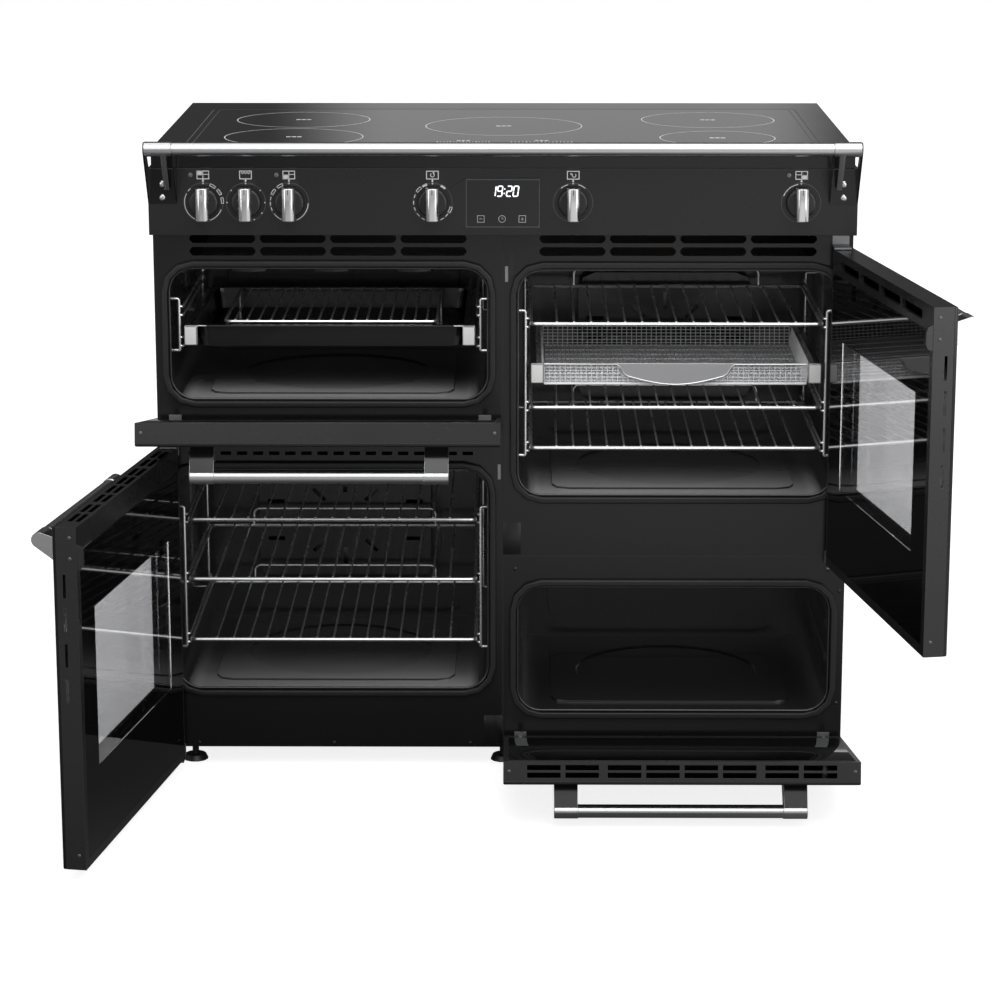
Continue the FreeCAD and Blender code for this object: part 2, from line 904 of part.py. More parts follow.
def arm_outline(x, face_y, z, stand_off, foot, radius):
    """The drop shape of an arm: round at the bar and widening down to the face that carries it."""
    centre = point(x, face_y - stand_off, z)
    upper = point(x, face_y, z - foot[0])
    lower = point(x, face_y, z - foot[1])
    high = tangent_point(upper, centre, radius, -1) - centre
    low = tangent_point(lower, centre, radius, 1) - centre
    start = math.atan2(high.z, high.y)
    end = math.atan2(low.z, low.y) % (2 * math.pi)
    points = [upper]
    for step in range(nose_steps + 1):
        angle = start + (end - start) * step / nose_steps
        points.append(centre + point(0, radius * math.cos(angle), radius * math.sin(angle)))
    return Part.makePolygon(points + [lower, upper])


def bar_on_arms(x, length, face_y, z, stand_off, foot, cap_length):
    """A bar with a cap, an arm and a polished side plate at each end."""
    half = length / 2
    y = face_y - stand_off
    solids = []
    inner = half - side_cap_thickness - cap_length
    solids.append(rod(point(x - inner, y, z), point(x + inner, y, z), handle_radius))
    for way in (-1, 1):
        outer_x = x + way * half
        plate_x = outer_x - way * side_cap_thickness
        inner_x = x + way * inner
        solids.append(rod(point(inner_x, y, z), point(plate_x, y, z), handle_cap_radius))
        outline = arm_outline(plate_x, face_y, z, stand_off, foot, handle_cap_radius)
        solids.append(Part.Face(outline).extrude(point(way * side_cap_thickness, 0, 0)))
        arm = Part.Face(outline).extrude(point(inner_x - plate_x, 0, 0))
        seat = rod(
            point(inner_x - way, y, z), point(plate_x + way, y, z), handle_cap_radius + seat_clearance
        )
        nose_room = block(
            point(x - length, y - 40, z - 60), point(x + length, y, z + 60)
        )
        solids.append(arm.cut([seat, nose_room]))
    return solids


def hand_rail():
    """Long towel rail across the front, under the hob's edge."""
    return bar_on_arms(0, rail_length, fascia_front, rail_centre, rail_stand_off, rail_foot, rail_cap_length)


# Doors


def leaf_box(oven):
    """Left, right, bottom and top of a closed leaf."""
    x = column_x(oven)
    z0, z1 = leaf_heights[oven]
    return x - leaf_width / 2, x + leaf_width / 2, z0, z1


def side_pivot(oven):
    """A point on the upright axis of a side-hung door."""
    side, low, top = openings[oven]
    edge = column_x(oven) + side * leaf_width / 2
    return point(edge - side * side_pivot_inset, -side_pivot_back, 0)


def drop_pivot(oven):
    """A point on the level axis of a drop-down door."""
    return point(column_x(oven), -drop_pivot_back, leaf_heights[oven][0] + drop_pivot_rise)


def opened(shapes, oven):
    """Turns closed pieces of a door about its hinge to where it stands open."""
    side = openings[oven][0]
    turned = []
    for shape in shapes:
        copy = shape.copy()
        if oven in ("bottom_left", "top_right"):
            copy.rotate(side_pivot(oven), along_z, side * side_open_angle)
        else:
            copy.rotate(drop_pivot(oven), along_x, drop_open_angle)
        turned.append(copy)
    return turned


def outer_panel(oven):
    """Front panel of a door, with softened edges and, on a side-hung door, a window."""
    x0, x1, z0, z1 = leaf_box(oven)
    plate = block(point(x0, outer_face, z0), point(x1, tray_front, z1))
    front = [e for e in plate.Edges if abs(e.BoundBox.YMax - outer_face) < 0.01]
    plate = plate.makeChamfer(outer_panel_round, front)
    if oven not in fan_ovens:
        return plate
    w0, w1, w2, w3 = window_limits(oven)
    return plate.cut(block(point(w0, outer_face - 1, w2), point(w1, tray_front + 1, w3)))


def window_limits(oven):
    """Left, right, bottom and top of a side-hung door's window."""
    x0, x1, z0, z1 = leaf_box(oven)
    inset = window_side_margin - (column_centre * 2 - leaf_width) / 2
    return x0 + inset, x1 - inset, z0 + window_bottom_margin, z1 - window_top_margin


def inner_glass_limits(oven, grow):
    x0, x1, z0, z1 = leaf_box(oven)
    inset = inner_glass_inset - grow
    return x0 + inset, x1 - inset, z0 + inset, z1 - inner_glass_top_inset + grow


def inner_glass(oven):
    """Glass on the oven's side of a side-hung door."""
    x0, x1, z0, z1 = inner_glass_limits(oven, 0)
    return block(point(x0, inner_face - inner_glass_thickness, z0), point(x1, inner_face, z1))


def window_pane(oven):
    """Pane behind the window of a side-hung door's front panel."""
    w0, w1, w2, w3 = window_limits(oven)
    low = point(w0 - pane_lap, tray_front, w2 - pane_lap)
    high = point(w1 + pane_lap, tray_front + pane_thickness, w3 + pane_lap)
    return block(low, high)


def leaf_tray(oven, corner_edges):
    """The folded tray of a door, open to the front, with a skin on the oven's side."""
    x0, x1, z0, z1 = leaf_box(oven)
    solid = block(point(x0, tray_front, z0), point(x1, inner_face, z1))
    rounded = []
    for edge in solid.Edges:
        box = edge.BoundBox
        on_inner = abs(box.YMin - inner_face) < 0.01 and abs(box.YMax - inner_face) < 0.01
        for axis, value in corner_edges:
            low, high = (box.XMin, box.XMax) if axis == "x" else (box.ZMin, box.ZMax)
            if on_inner and abs(low - value) < 0.01 and abs(high - value) < 0.01:
                rounded.append(edge)
    radius = leaf_corner if corner_edges[0][0] == "x" else drop_leaf_corner
    return solid.makeFillet(radius, rounded)


def side_door_frame(oven):
    """Tray of a side-hung door: hinge bosses, glass seat, window, vent slots and the catch."""
    side = openings[oven][0]
    x0, x1, z0, z1 = leaf_box(oven)
    hinge_x = x0 if side < 0 else x1
    free_x = x1 if side < 0 else x0
    tray = leaf_tray(oven, (("x", hinge_x),))
    ledge_front = inner_face - inner_glass_thickness - leaf_sheet
    wall = leaf_sheet
    hinge_wall = 2 * leaf_corner * 0.6
    low_x = x0 + (hinge_wall if side < 0 else wall)
    high_x = x1 - (wall if side < 0 else hinge_wall)
    hollow = block(point(low_x, tray_front - 1, z0 + wall), point(high_x, ledge_front, z1 - wall))
    g0, g1, g2, g3 = inner_glass_limits(oven, inner_glass_clearance)
    seat = block(point(g0, inner_face - inner_glass_thickness, g2), point(g1, inner_face + 1, g3))
    w0, w1, w2, w3 = window_limits(oven)
    land = glass_land
    window = block(point(g0 + land, ledge_front - 1, w2 - 20), point(g1 - land, inner_face + 1, g3 - land))
    frame = tray.cut([hollow, seat, window])
    pivot = side_pivot(oven)
    bosses = []
    bores = []
    for level, way in ((z0, 1), (z1, -1)):
        start = point(pivot.x, pivot.y, level)
        bosses.append(rod(start, start + along_z * way * (pin_reach + 3), pin_boss_radius, hole_sides))
        end = start + along_z * way * (pin_reach + 1)
        bores.append(hole(start - along_z * way, end, pin_radius + pin_clearance))
    cuts = bores + free_edge_slots(oven, free_x) + top_edge_slots(oven)
    if oven == "top_right":
        cuts += strip_slots(oven)
    frame = joined([frame] + bosses).cut(cuts)
    return [frame, door_catch(oven, free_x)]


def free_edge_slots(oven, x):
    """Upright slots in the edge opposite the hinge."""
    x0, x1, z0, z1 = leaf_box(oven)
    length, width = edge_slot
    y = (tray_front + inner_face) / 2 - edge_slot_shift
    cuts = []
    for drop in edge_slot_drops:
        low = point(x - 4, y - width / 2, z1 - drop - length / 2)
        cuts.append(block(low, low + point(8, width, length)))
    return cuts


def top_edge_slots(oven):
    """Two rows of slots along the top edge of a leaf, in groups of two, four and two."""
    if oven not in vented_leaves:
        return []
    x0, x1, z0, z1 = leaf_box(oven)
    length, width = top_slot
    starts = []
    run = 0.0
    for number in range(top_slot_count):
        starts.append(run)
        run += length + (top_slot_group_gap if number in top_slot_groups else top_slot_gap)
    left = (x0 + x1 - starts[-1] - length) / 2
    cuts = []
    for way in (-1, 1):
        y = (tray_front + inner_face) / 2 + way * top_slot_rows / 2
        for start in starts:
            low = point(left + start, y - width / 2, z1 - 3)
            cuts.append(block(low, low + point(length, width, 6)))
    return cuts


def strip_slots(oven):
    """Long slots in the steel strip above the inner glass."""
    x0, x1, z0, z1 = leaf_box(oven)
    z = z1 - inner_glass_top_inset / 2 - 1
    cuts = []
    for number in range(4):
        x = (x0 + x1) / 2 + (number - 1.5) * vent_pitch
        cuts.append(slot_block(x, z, strip_slot, inner_face - 9, inner_face + 1))
    return cuts


def door_catch(oven, free_x):
    """Rounded catch tab on the inner face, near the top of the free edge."""
    side = openings[oven][0]
    width, depth, height = catch_size
    z = leaf_heights[oven][1] - catch_drop
    x = free_x + side * (1 + width / 2)
    tab = round_block(-height / 2, height / 2, -depth, depth, depth * 0.99, -width / 2, width / 2)
    tab.rotate(point(0, 0, 0), along_z, 90)
    tab.rotate(point(0, 0, 0), along_x, 90)
    keep = block(point(-50, 0, -50), point(50, 50, 50))
    tab = tab.common(keep)
    tab.translate(point(x, inner_face, z))
    return tab


def drop_door_frame(oven):
    """Tray of a drop-down door, with a pressed inner skin and two hinge notches with their pins."""
    x0, x1, z0, z1 = leaf_box(oven)
    tray = leaf_tray(oven, (("z", z0),))
    wall = leaf_sheet
    hollow = block(
        point(x0 + wall, tray_front - 1, z0 + 2 * wall),
        point(x1 - wall, inner_face - wall, z1 - wall),
    )
    frame = tray.cut([hollow] + top_edge_slots(oven))
    pivot = drop_pivot(oven)
    cheeks = []
    notches = []
    pins = []
    for way in (-1, 1):
        ear_x = pivot.x + way * (leaf_width / 2 - drop_ear_inset)
        half_notch = drop_ear_thickness / 2 + drop_ear_clearance
        reach = drop_ear_radius + drop_ear_clearance
        outer = half_notch + drop_cheek
        cheeks.append(block(
            point(ear_x - outer, max(pivot.y - reach, tray_front), z0 + wall),
            point(ear_x + outer, inner_face - wall / 2, pivot.z + reach),
        ))
        notches.append(block(
            point(ear_x - half_notch, max(pivot.y - reach, tray_front), z0 - 1),
            point(ear_x + half_notch, inner_face + 1, pivot.z + reach),
        ))
        pins.append(rod(
            point(ear_x - half_notch - 3, pivot.y, pivot.z),
            point(ear_x + half_notch + 3, pivot.y, pivot.z),
            drop_pin_radius,
            hole_sides,
        ))
    frame = joined([frame] + cheeks).cut(notches)
    return joined([frame] + pins)


def door_handle(oven):
    """Bar handle near the top of a leaf."""
    z = leaf_heights[oven][1] - handle_drop
    return bar_on_arms(
        column_x(oven), handle_length, outer_face, z, handle_stand_off, handle_foot, handle_cap_length
    )


# Hinges


def side_hinge_bracket(oven, top):
    """Plate with an upright pin, and a flange that lies on the front frame behind the door."""
    side = openings[oven][0]
    x0, x1, z0, z1 = leaf_box(oven)
    pivot = side_pivot(oven)
    way = 1 if top else -1
    leaf_edge = z1 if top else z0
    near = leaf_edge + way * bracket_gap
    far = near + way * bracket_thickness
    low, high = sorted((near, far))
    edge_x = pivot.x + side * 11
    inner_x = edge_x - side * bracket_width
    left, right = sorted((edge_x, inner_x))
    plate = block(point(left, pivot.y - 9, low), point(right, 0, high))
    flange_way = bracket_side(oven, top)
    flange_end = near + flange_way * bracket_height if flange_way != way else far + way * bracket_height
    fl, fh = sorted((far if flange_way != way else near, flange_end))
    flange = block(point(left, -bracket_flange, fl), point(right, 0, fh))
    tip = point(pivot.x, pivot.y, leaf_edge - way * pin_reach)
    pin = rod(point(pivot.x, pivot.y, near), tip, pin_radius, hole_sides)
    return joined([plate, flange, pin])


def bracket_side(oven, top):
    """Which way a bracket's flange turns: 1 up, -1 down."""
    if oven == "bottom_left":
        return -1 if top else 1
    return 1


def drop_hinge_ears(oven):
    """Two ears on a plate that lies on the front frame, each bored for a pin of the leaf."""
    pivot = drop_pivot(oven)
    solids = []
    for way in (-1, 1):
        x = pivot.x + way * (leaf_width / 2 - drop_ear_inset)
        half = drop_ear_thickness / 2
        nose = rod(point(x - half, pivot.y, pivot.z), point(x + half, pivot.y, pivot.z), drop_ear_radius)
        arm = block(
            point(x - half, pivot.y, pivot.z - drop_ear_radius),
            point(x + half, 0, pivot.z + drop_ear_radius),
        )
        base = block(
            point(x - 9, -bracket_flange, pivot.z - drop_ear_radius),
            point(x + 9, 0, pivot.z + drop_ear_radius + 8),
        )
        pin_hole = hole(
            point(x - 10, pivot.y, pivot.z), point(x + 10, pivot.y, pivot.z), drop_pin_radius + pin_clearance
        )
        solids.append(joined([nose, arm, base]).cut(pin_hole))
    return solids


def door_hinges():
    """Every hinge part that stays on the body."""
    solids = []
    for oven in ("bottom_left", "top_right"):
        for top in (False, True):
            solids.append(side_hinge_bracket(oven, top))
    for oven in ("top_left", "bottom_right"):
        solids += drop_hinge_ears(oven)
    return solids


# Inside the ovens


def wire_grid(limits, level, count, pitch):
    """A level grid: four bars with evenly spaced wires lying on them."""
    x0, x1, y0, y1 = limits
    half = shelf_bar / 2
    low, high = level - shelf_thickness / 2, level + shelf_thickness / 2
    seat = high - shelf_wire / 2
    solids = [
        block(point(x0, y0, low), point(x1, y0 + shelf_bar, seat)),
        block(point(x0, y1 - shelf_bar, low), point(x1, y1, seat)),
        block(point(x0, y0 + shelf_bar, low), point(x0 + shelf_bar, y1 - shelf_bar, seat)),
        block(point(x1 - shelf_bar, y0 + shelf_bar, low), point(x1, y1 - shelf_bar, seat)),
    ]
    middle = (x0 + x1) / 2
    for number in range(count):
        x = middle + (number - (count - 1) / 2) * pitch
        left, right = x - shelf_wire / 2, x + shelf_wire / 2
        solids.append(block(point(left, y0 + half / 2, seat), point(right, y1 - shelf_bar, high)))
    return solids


def wire_shelf(oven, level):
    """Wire shelf with straight wires across it and an upstand at the back."""
    x = column_x(oven)
    half = shelf_width / 2
    back = shelf_front + shelf_depth
    solids = wire_grid((x - half, x + half, shelf_front, back), level, shelf_wire_count, shelf_wire_pitch)
    rear = back - shelf_bar / 2
    side_x = shelf_width / 2 - upstand_inset
    seat = level + shelf_thickness / 2 - shelf_wire / 2
    hoop = [
        point(x - side_x, rear, seat),
        point(x - side_x, rear, level + upstand_height),
        point(x + side_x, rear, level + upstand_height),
        point(x + side_x, rear, seat),
    ]
    solids.append(bent_rod(hoop, shelf_bar / 2, upstand_bend, 4, 1))
    return solids


def rung_levels(oven):
    """Heights of the rungs: one just under and one over each level where something slides."""
    levels = []
    below = (shelf_thickness + ladder_rod) / 2 + rung_clearance
    for level in shelf_levels[oven]:
        levels.append(level - below)
        levels.append(level - below + rung_spacing)
    for level in spare_levels[oven]:
        levels.append(level - rung_spacing / 2)
        levels.append(level + rung_spacing / 2)
    return sorted(levels)


def ladder(oven, way):
    """Wire side rack: level rungs on two upright posts, with stubs to the oven wall."""
    x = column_x(oven)
    levels = rung_levels(oven)
    half = ladder_rod / 2
    rung = x + way * (half_opening - ladder_wall_gap)
    post = rung + way * ladder_rod
    wall_x = x + way * half_opening
    z0 = min(levels) - 9
    z1 = max(levels) + 14
    solids = []
    for y in (ladder_front + half, ladder_back - half):
        upright = block(point(post - half, y - half, z0), point(post + half, y + half, z1))
        stubs = []
        for z in (z0 + half, z1 - half):
            x0, x1 = sorted((post, wall_x))
            stubs.append(block(point(x0, y - half, z - half), point(x1, y + half, z + half)))
        solids.append(joined([upright] + stubs))
    for z in levels:
        solids.append(block(
            point(rung - half, ladder_front, z - half), point(rung + half, ladder_back, z + half)
        ))
    return solids


def shelf_ladders():
    solids = []
    for oven in shelf_levels:
        for way in (-1, 1):
            solids += ladder(oven, way)
    return solids


def slide_x(oven, way):
    """Inner side of the fixed channel, and inner and outer side of the moving slide."""
    x = column_x(oven)
    fixed_outer = half_opening - ladder_wall_gap - ladder_rod / 2 - slide_gap
    fixed_inner = fixed_outer - channel_wall
    moving_outer = fixed_inner - slide_gap
    moving_inner = moving_outer - slide_width
    return [x + way * value for value in (fixed_outer, fixed_inner, moving_outer, moving_inner)]


def fixed_channel(oven, way, level):
    """Outer member of a telescopic runner: a C section that hooks over the rungs."""
    outer_x, inner_x, moving_x, end_x = slide_x(oven, way)
    lip = slide_width * 0.45
    tip_x = moving_x - way * lip
    low = level - slide_height / 2 - slide_gap - channel_wall
    high = level + slide_height / 2 + slide_gap + channel_wall
    y0 = slide_front + slide_cap[1]
    y1 = y0 + slide_depth
    x0, x1 = sorted((outer_x, tip_x))
    shell = block(point(x0, y0, low), point(x1, y1, high))
    h0, h1 = sorted((inner_x, tip_x - way * 5))
    hollow = block(point(h0, y0 - 1, low + channel_wall), point(h1, y1 + 1, high - channel_wall))
    return shell.cut(hollow)


def moving_slide(oven, way, level):
    """Inner member of a telescopic runner, with its front cap and the ledge that carries the pan."""
    outer_x, inner_x, moving_x, end_x = slide_x(oven, way)
    low = level - slide_height / 2
    high = level + slide_height / 2
    y0 = slide_front + slide_cap[1]
    y1 = y0 + slide_depth
    x0, x1 = sorted((moving_x, end_x))
    shell = block(point(x0, y0, low), point(x1, y1, high))
    groove_start = moving_x - way * slide_wall
    h0, h1 = sorted((groove_start, end_x - way * 5))
    hollow = block(point(h0, y0 - 1, low + slide_wall), point(h1, y1 + 1, high - slide_wall))
    c0, c1 = sorted((moving_x + way * slide_cap_lap, moving_x + way * (slide_cap_lap - slide_cap[0])))
    cap = round_block(c0, c1, level - slide_cap[2] / 2, level + slide_cap[2] / 2, 2.5, slide_front, y0)
    return joined([shell.cut(hollow), cap])


def runner_channels():
    """The fixed halves of both pairs of runners."""
    solids = []
    for oven, level in (("top_right", basket_slide_level()), ("top_left", pan_slide_level())):
        solids += [fixed_channel(oven, way, level) for way in (-1, 1)]
    return solids


def basket_slide_level():
    return basket_rim_height - basket_rim_thickness - slide_height / 2


def pan_slide_level():
    return pan_rim_height - pan_sheet * 2 - slide_height / 2


def slides(oven, level):
    return [moving_slide(oven, way, level) for way in (-1, 1)]


def tray_on_slides(oven, rim, height, depth, sheet, corner, rim_thickness):
    """A dished tray whose rim lies on the two slides of its oven."""
    x = column_x(oven)
    outer_x, inner_x, moving_x, end_x = slide_x(oven, 1)
    slide_inside = end_x - x
    rim_half = slide_inside + slide_ledge
    body_half = slide_inside - tray_side_gap
    y0 = slide_front + slide_cap[1] + 1
    y1 = y0 + depth
    flange = flat_plate(x - rim_half, x + rim_half, y0, y1, corner, rim - rim_thickness, rim)
    margin = rim_half - body_half
    low = (x - body_half, x + body_half, y0 + margin, y1 - margin)
    taper = height * 0.12
    outer = tapered(low, corner * 0.8, rim - height, rim, taper)
    inner_limits = (low[0] + sheet, low[1] - sheet, low[2] + sheet, low[3] - sheet)
    inner = tapered(inner_limits, corner * 0.8 - sheet, rim - height + sheet, rim + 0.5, taper)
    return joined([flange, outer]).cut(inner)


def flat_plate(x0, x1, y0, y1, radius, z0, z1, steps=small_steps):
    """A level plate with round corners."""
    corners = [point(x, y, z0) for x, y in round_corners(x0, x1, y0, y1, radius, steps)]
    return Part.Face(Part.makePolygon(corners + corners[:1])).extrude(along_z * (z1 - z0))


def tapered(limits, radius, z0, z1, taper):
    """A level block whose sides lean in towards the bottom."""
    x0, x1, y0, y1 = limits
    rings = []
    for z, inset in ((z0, taper), (z1, 0)):
        flat = round_corners(x0 + inset, x1 - inset, y0 + inset, y1 - inset, radius, small_steps)
        rings.append([point(x, y, z) for x, y in flat])
    return skinned(rings)


def air_fry_basket():
    """Shallow basket with a curved grip plate at the front."""
    oven = "top_right"
    x = column_x(oven)
    body = tray_on_slides(
        oven, basket_rim_height, basket_height, basket_depth, basket_sheet, basket_corner, basket_rim_thickness
    )
    y0 = slide_front + slide_cap[1] + 1
    half = basket_plate[0] / 2
    top = basket_rim_height
    drop = basket_plate[1]
    left = point(x - half, y0 - 1.5, top)
    right = point(x + half, y0 - 1.5, top)
    curve = []
    for step in range(plate_steps + 1):
        share = step / plate_steps
        sag = 1 - (2 * share - 1) ** 4
        curve.append(left + (right - left) * share - along_z * drop * (0.3 + 0.7 * sag))
    plate = Part.Face(Part.makePolygon([left] + curve + [right, left])).extrude(point(0, 1.5, 0))
    grip_hole = slot_block(x, top - drop * 0.3, (basket_plate[0] * 0.62, drop * 0.28), y0 - 5, y0 + 0.5)
    return joined([body, plate]).cut(grip_hole)


def grill_pan():
    """Enamelled pan that slides under the grill."""
    return tray_on_slides(
        "top_left", pan_rim_height, pan_height, pan_depth, pan_sheet, pan_corner, pan_sheet * 2
    )


def grill_trivet():
    """Wire rack that stands in the grill pan."""
    x = column_x("top_left")
    half = slide_x("top_left", 1)[3] - x - tray_side_gap - trivet_side_gap
    middle = slide_front + slide_cap[1] + 1 + pan_depth / 2
    y0 = middle - pan_depth / 2 + trivet_end_gap
    y1 = middle + pan_depth / 2 - trivet_end_gap
    level = trivet_height - shelf_thickness / 2
    pitch = 2 * half / (trivet_wire_count + 1)
    solids = wire_grid((x - half, x + half, y0, y1), level, trivet_wire_count, pitch)
    floor = pan_rim_height - pan_height + pan_sheet
    under = level - shelf_thickness / 2
    for way in (-1, 1):
        for y in (y0 + 30, y1 - 30):
            leg_x = x + way * (half - shelf_bar / 2)
            solids.append(rod(point(leg_x, y, floor), point(leg_x, y, under), shelf_bar / 2, wire_sides))
    return solids


# Fans, elements and lamps


def fan_centre(oven, y):
    side, z0, z1 = openings[oven]
    return point(column_x(oven), y, (z0 + z1) / 2)


def fan_impeller(oven):
    """Disc with raked blades, a hub and the shaft that runs in the motor."""
    back = cavity_back - back_panel_rise - fan_gap
    disc_front = back - 1.2
    centre = fan_centre(oven, disc_front)
    disc = rod(centre, fan_centre(oven, back), fan_radius, disc_sides)
    shaft_end = cavity_back + liner_sheet + fan_shaft_reach
    hub = rod(fan_centre(oven, disc_front - 8), fan_centre(oven, back), 9.0, hole_sides)
    shaft = rod(fan_centre(oven, back), fan_centre(oven, shaft_end), fan_shaft_radius, hole_sides)
    blades = []
    for number in range(fan_blades):
        blade = block(point(30, -fan_depth, -0.7), point(fan_radius - 4, 0.2, 0.7))
        blade.rotate(point(fan_radius - 4, 0, 0), along_y, 22)
        blade.rotate(point(0, 0, 0), along_y, 360 * number / fan_blades)
        blade.translate(centre)
        blades.append(blade)
    return joined([disc, hub, shaft] + blades)


def fan_motors():
    """Motor on the outside of each fan oven's back wall, bored for the fan's shaft."""
    solids = []
    for oven in fan_ovens:
        start = cavity_back + liner_sheet
        can = rod(fan_centre(oven, start + 6), fan_centre(oven, start + 6 + motor_depth), motor_radius)
        plate = rod(fan_centre(oven, start), fan_centre(oven, start + 6), motor_radius + 14)
        bush = hole(
            fan_centre(oven, start - 1),
            fan_centre(oven, start + fan_shaft_reach + 1),
            fan_shaft_radius + fan_bush_clearance,
        )
        solids.append(joined([can, plate]).cut(bush))
    return solids


def fan_cover(oven):
    """Cover with a ring of slots in front of the fan, on four feet from the back wall."""
    centre = fan_centre(oven, cavity_back - back_panel_rise - fan_cover_back)
    side, z0, z1 = openings[oven]
    half_wide = half_opening - fan_panel_margin[0] - fan_cover_margin[0]
    half_height = (z1 - z0) / 2 - fan_panel_margin[1] - fan_cover_margin[1]
    x, front, z = centre
    plate = round_block(
        x - half_wide, x + half_wide, z - half_height, z + half_height, fan_cover_corner,
        front, front + fan_cover_sheet,
    )
    length, width = fan_cover_slot
    cuts = []
    for number in range(fan_cover_slots):
        cut = block(
            point(fan_cover_ring - length / 2, -1, -width / 2),
            point(fan_cover_ring + length / 2, fan_cover_sheet + 1, width / 2),
        )
        cut.rotate(point(0, 0, 0), along_y, 360 * number / fan_cover_slots)
        cut.translate(centre)
        cuts.append(cut)
    for way in (-1, 1):
        for row in range(fan_cover_side_slots):
            middle = centre + point(
                way * (half_wide - length), 0, (row - (fan_cover_side_slots - 1) / 2) * fan_cover_side_pitch
            )
            low = middle - point(length / 2, 1, width / 2)
            cuts.append(block(low, low + point(length, fan_cover_sheet + 2, width)))
    legs = []
    for side_way in (-1, 1):
        for up in (-1, 1):
            foot = centre + point(side_way * (half_wide - 8), fan_cover_sheet, up * (half_height - 40))
            legs.append(block(foot - point(3, 0, 3), foot + point(3, fan_cover_back - fan_cover_sheet, 3)))
    return joined([plate.cut(cuts)] + legs)


def fan_covers():
    return [fan_cover(oven) for oven in fan_ovens]


def heating_elements():
    """A ring element round each fan and the grill element under the grill oven's ceiling."""
    solids = []
    for oven in fan_ovens:
        y = cavity_back - back_panel_rise - fan_cover_back / 2
        ring = ring_rod(fan_centre(oven, y), along_y, ring_radius, element_radius, 4, ring_steps)
        tails = []
        for way in (-1, 1):
            start = fan_centre(oven, y) + point(way * 12, 0, math.sqrt(ring_radius ** 2 - 144))
            tails.append(rod(start, start + along_y * fan_cover_back / 2, element_radius * 0.8, 4))
        solids.append(joined([ring] + tails))
    x = column_x("top_left")
    z = openings["top_left"][2] - grill_drop
    y0 = 70.0
    pitch = grill_span[0] / (grill_runs - 1)
    points = []
    for number in range(grill_runs):
        run_x = x - grill_span[0] / 2 + number * pitch
        far, near = cavity_back + 6, y0
        ends = (far if number == 0 else far - 60, near) if number % 2 == 0 else (near, far - 60)
        if number == grill_runs - 1:
            ends = (near, cavity_back + 6)
        points += [point(run_x, end, z) for end in ends]
    solids.append(bent_rod(points, element_radius, grill_bend, 4))
    return solids


def oven_lamps():
    """A round lamp glass on the back wall of each fan oven."""
    solids = []
    for oven in fan_ovens:
        side, z0, z1 = openings[oven]
        base = point(column_x(oven) + lamp_offset[0], cavity_back, z1 - lamp_offset[1])
        front = base - along_y * lamp_glass_depth
        solids.append(cone(base, front, lamp_glass_radius, lamp_glass_radius * 0.8, round_sides))
    return solids


# Assembly


def build():
    """Every sub-part by name, at rest: doors open, shelves in."""
    nodes = {
        "chassis": [chassis()],
        "side_panels": side_panels(),
        "back_panel": [back_panel()],
        "mains_inlet": [mains_inlet()],
        "levelling_feet": levelling_feet(),
        "front_frame_left": [front_frame_left()],
        "front_frame_top_right": [front_frame_right(True)],
        "front_frame_bottom_right": [front_frame_right(False)],
        "door_seals": door_seals(),
        "control_fascia": [control_fascia()],
        "display_window": display_window(),
        "control_electronics": control_electronics(),
        "hob_surround": [hob_surround()],
        "hob_glass": [hob_glass()],
        "induction_coils": [induction_coils()],
        "hand_rail": hand_rail(),
        "door_hinges": door_hinges(),
        "shelf_ladders": shelf_ladders(),
        "runner_channels": runner_channels(),
        "fan_motors": fan_motors(),
        "fan_covers": fan_covers(),
        "heating_elements": heating_elements(),
        "oven_lamps": oven_lamps(),
    }
    for oven in openings:
        nodes["oven_liner_" + oven] = [oven_liner(oven, oven in fan_ovens)]
        nodes["door_panel_" + oven] = opened([outer_panel(oven)], oven)
        nodes["door_handle_" + oven] = opened(door_handle(oven), oven)
    for oven in fan_ovens:
        nodes["door_frame_" + oven] = opened(side_door_frame(oven), oven)
        nodes["door_glass_" + oven] = opened([inner_glass(oven), window_pane(oven)], oven)
        nodes["fan_impeller_" + oven] = [fan_impeller(oven)]
        for number, level in enumerate(shelf_levels[oven]):
            nodes["shelf_" + oven + "_" + str(number + 1)] = wire_shelf(oven, level)
    for oven in ("top_left", "bottom_right"):
        nodes["door_frame_" + oven] = opened([drop_door_frame(oven)], oven)
    for number, x in enumerate(knob_places):
        nodes["knob_" + str(number + 1)] = knob(x)
    nodes["basket_slides"] = slides("top_right", basket_slide_level())
    nodes["air_fry_basket"] = [air_fry_basket()]
    nodes["pan_slides"] = slides("top_left", pan_slide_level())
    nodes["grill_pan"] = [grill_pan()]
    nodes["grill_trivet"] = grill_trivet()
    return nodes


def main():
    """Moves the origin under the middle of the open cooker and writes one file per sub-part."""
    nodes = build()
    whole = Part.makeCompound([solid for solids in nodes.values() for solid in solids])
    box = whole.optimalBoundingBox(False)
    shift = point(-(box.XMin + box.XMax) / 2, -(box.YMin + box.YMax) / 2, -box.ZMin)
    os.makedirs("parts", exist_ok=True)
    for name, solids in nodes.items():
        shape = solids[0] if len(solids) == 1 else Part.makeCompound(solids)
        shape.translate(shift)
        shape.exportStep("parts/" + name + ".step")
    print("nodes", len(nodes), "shift", round(shift.x, 4), round(shift.y, 4), round(shift.z, 4))
    print("size", round(box.XLength, 2), round(box.YLength, 2), round(box.ZLength, 2))


main()
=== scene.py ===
import json
import math

import bmesh
import bpy
from mathutils import Matrix, Vector


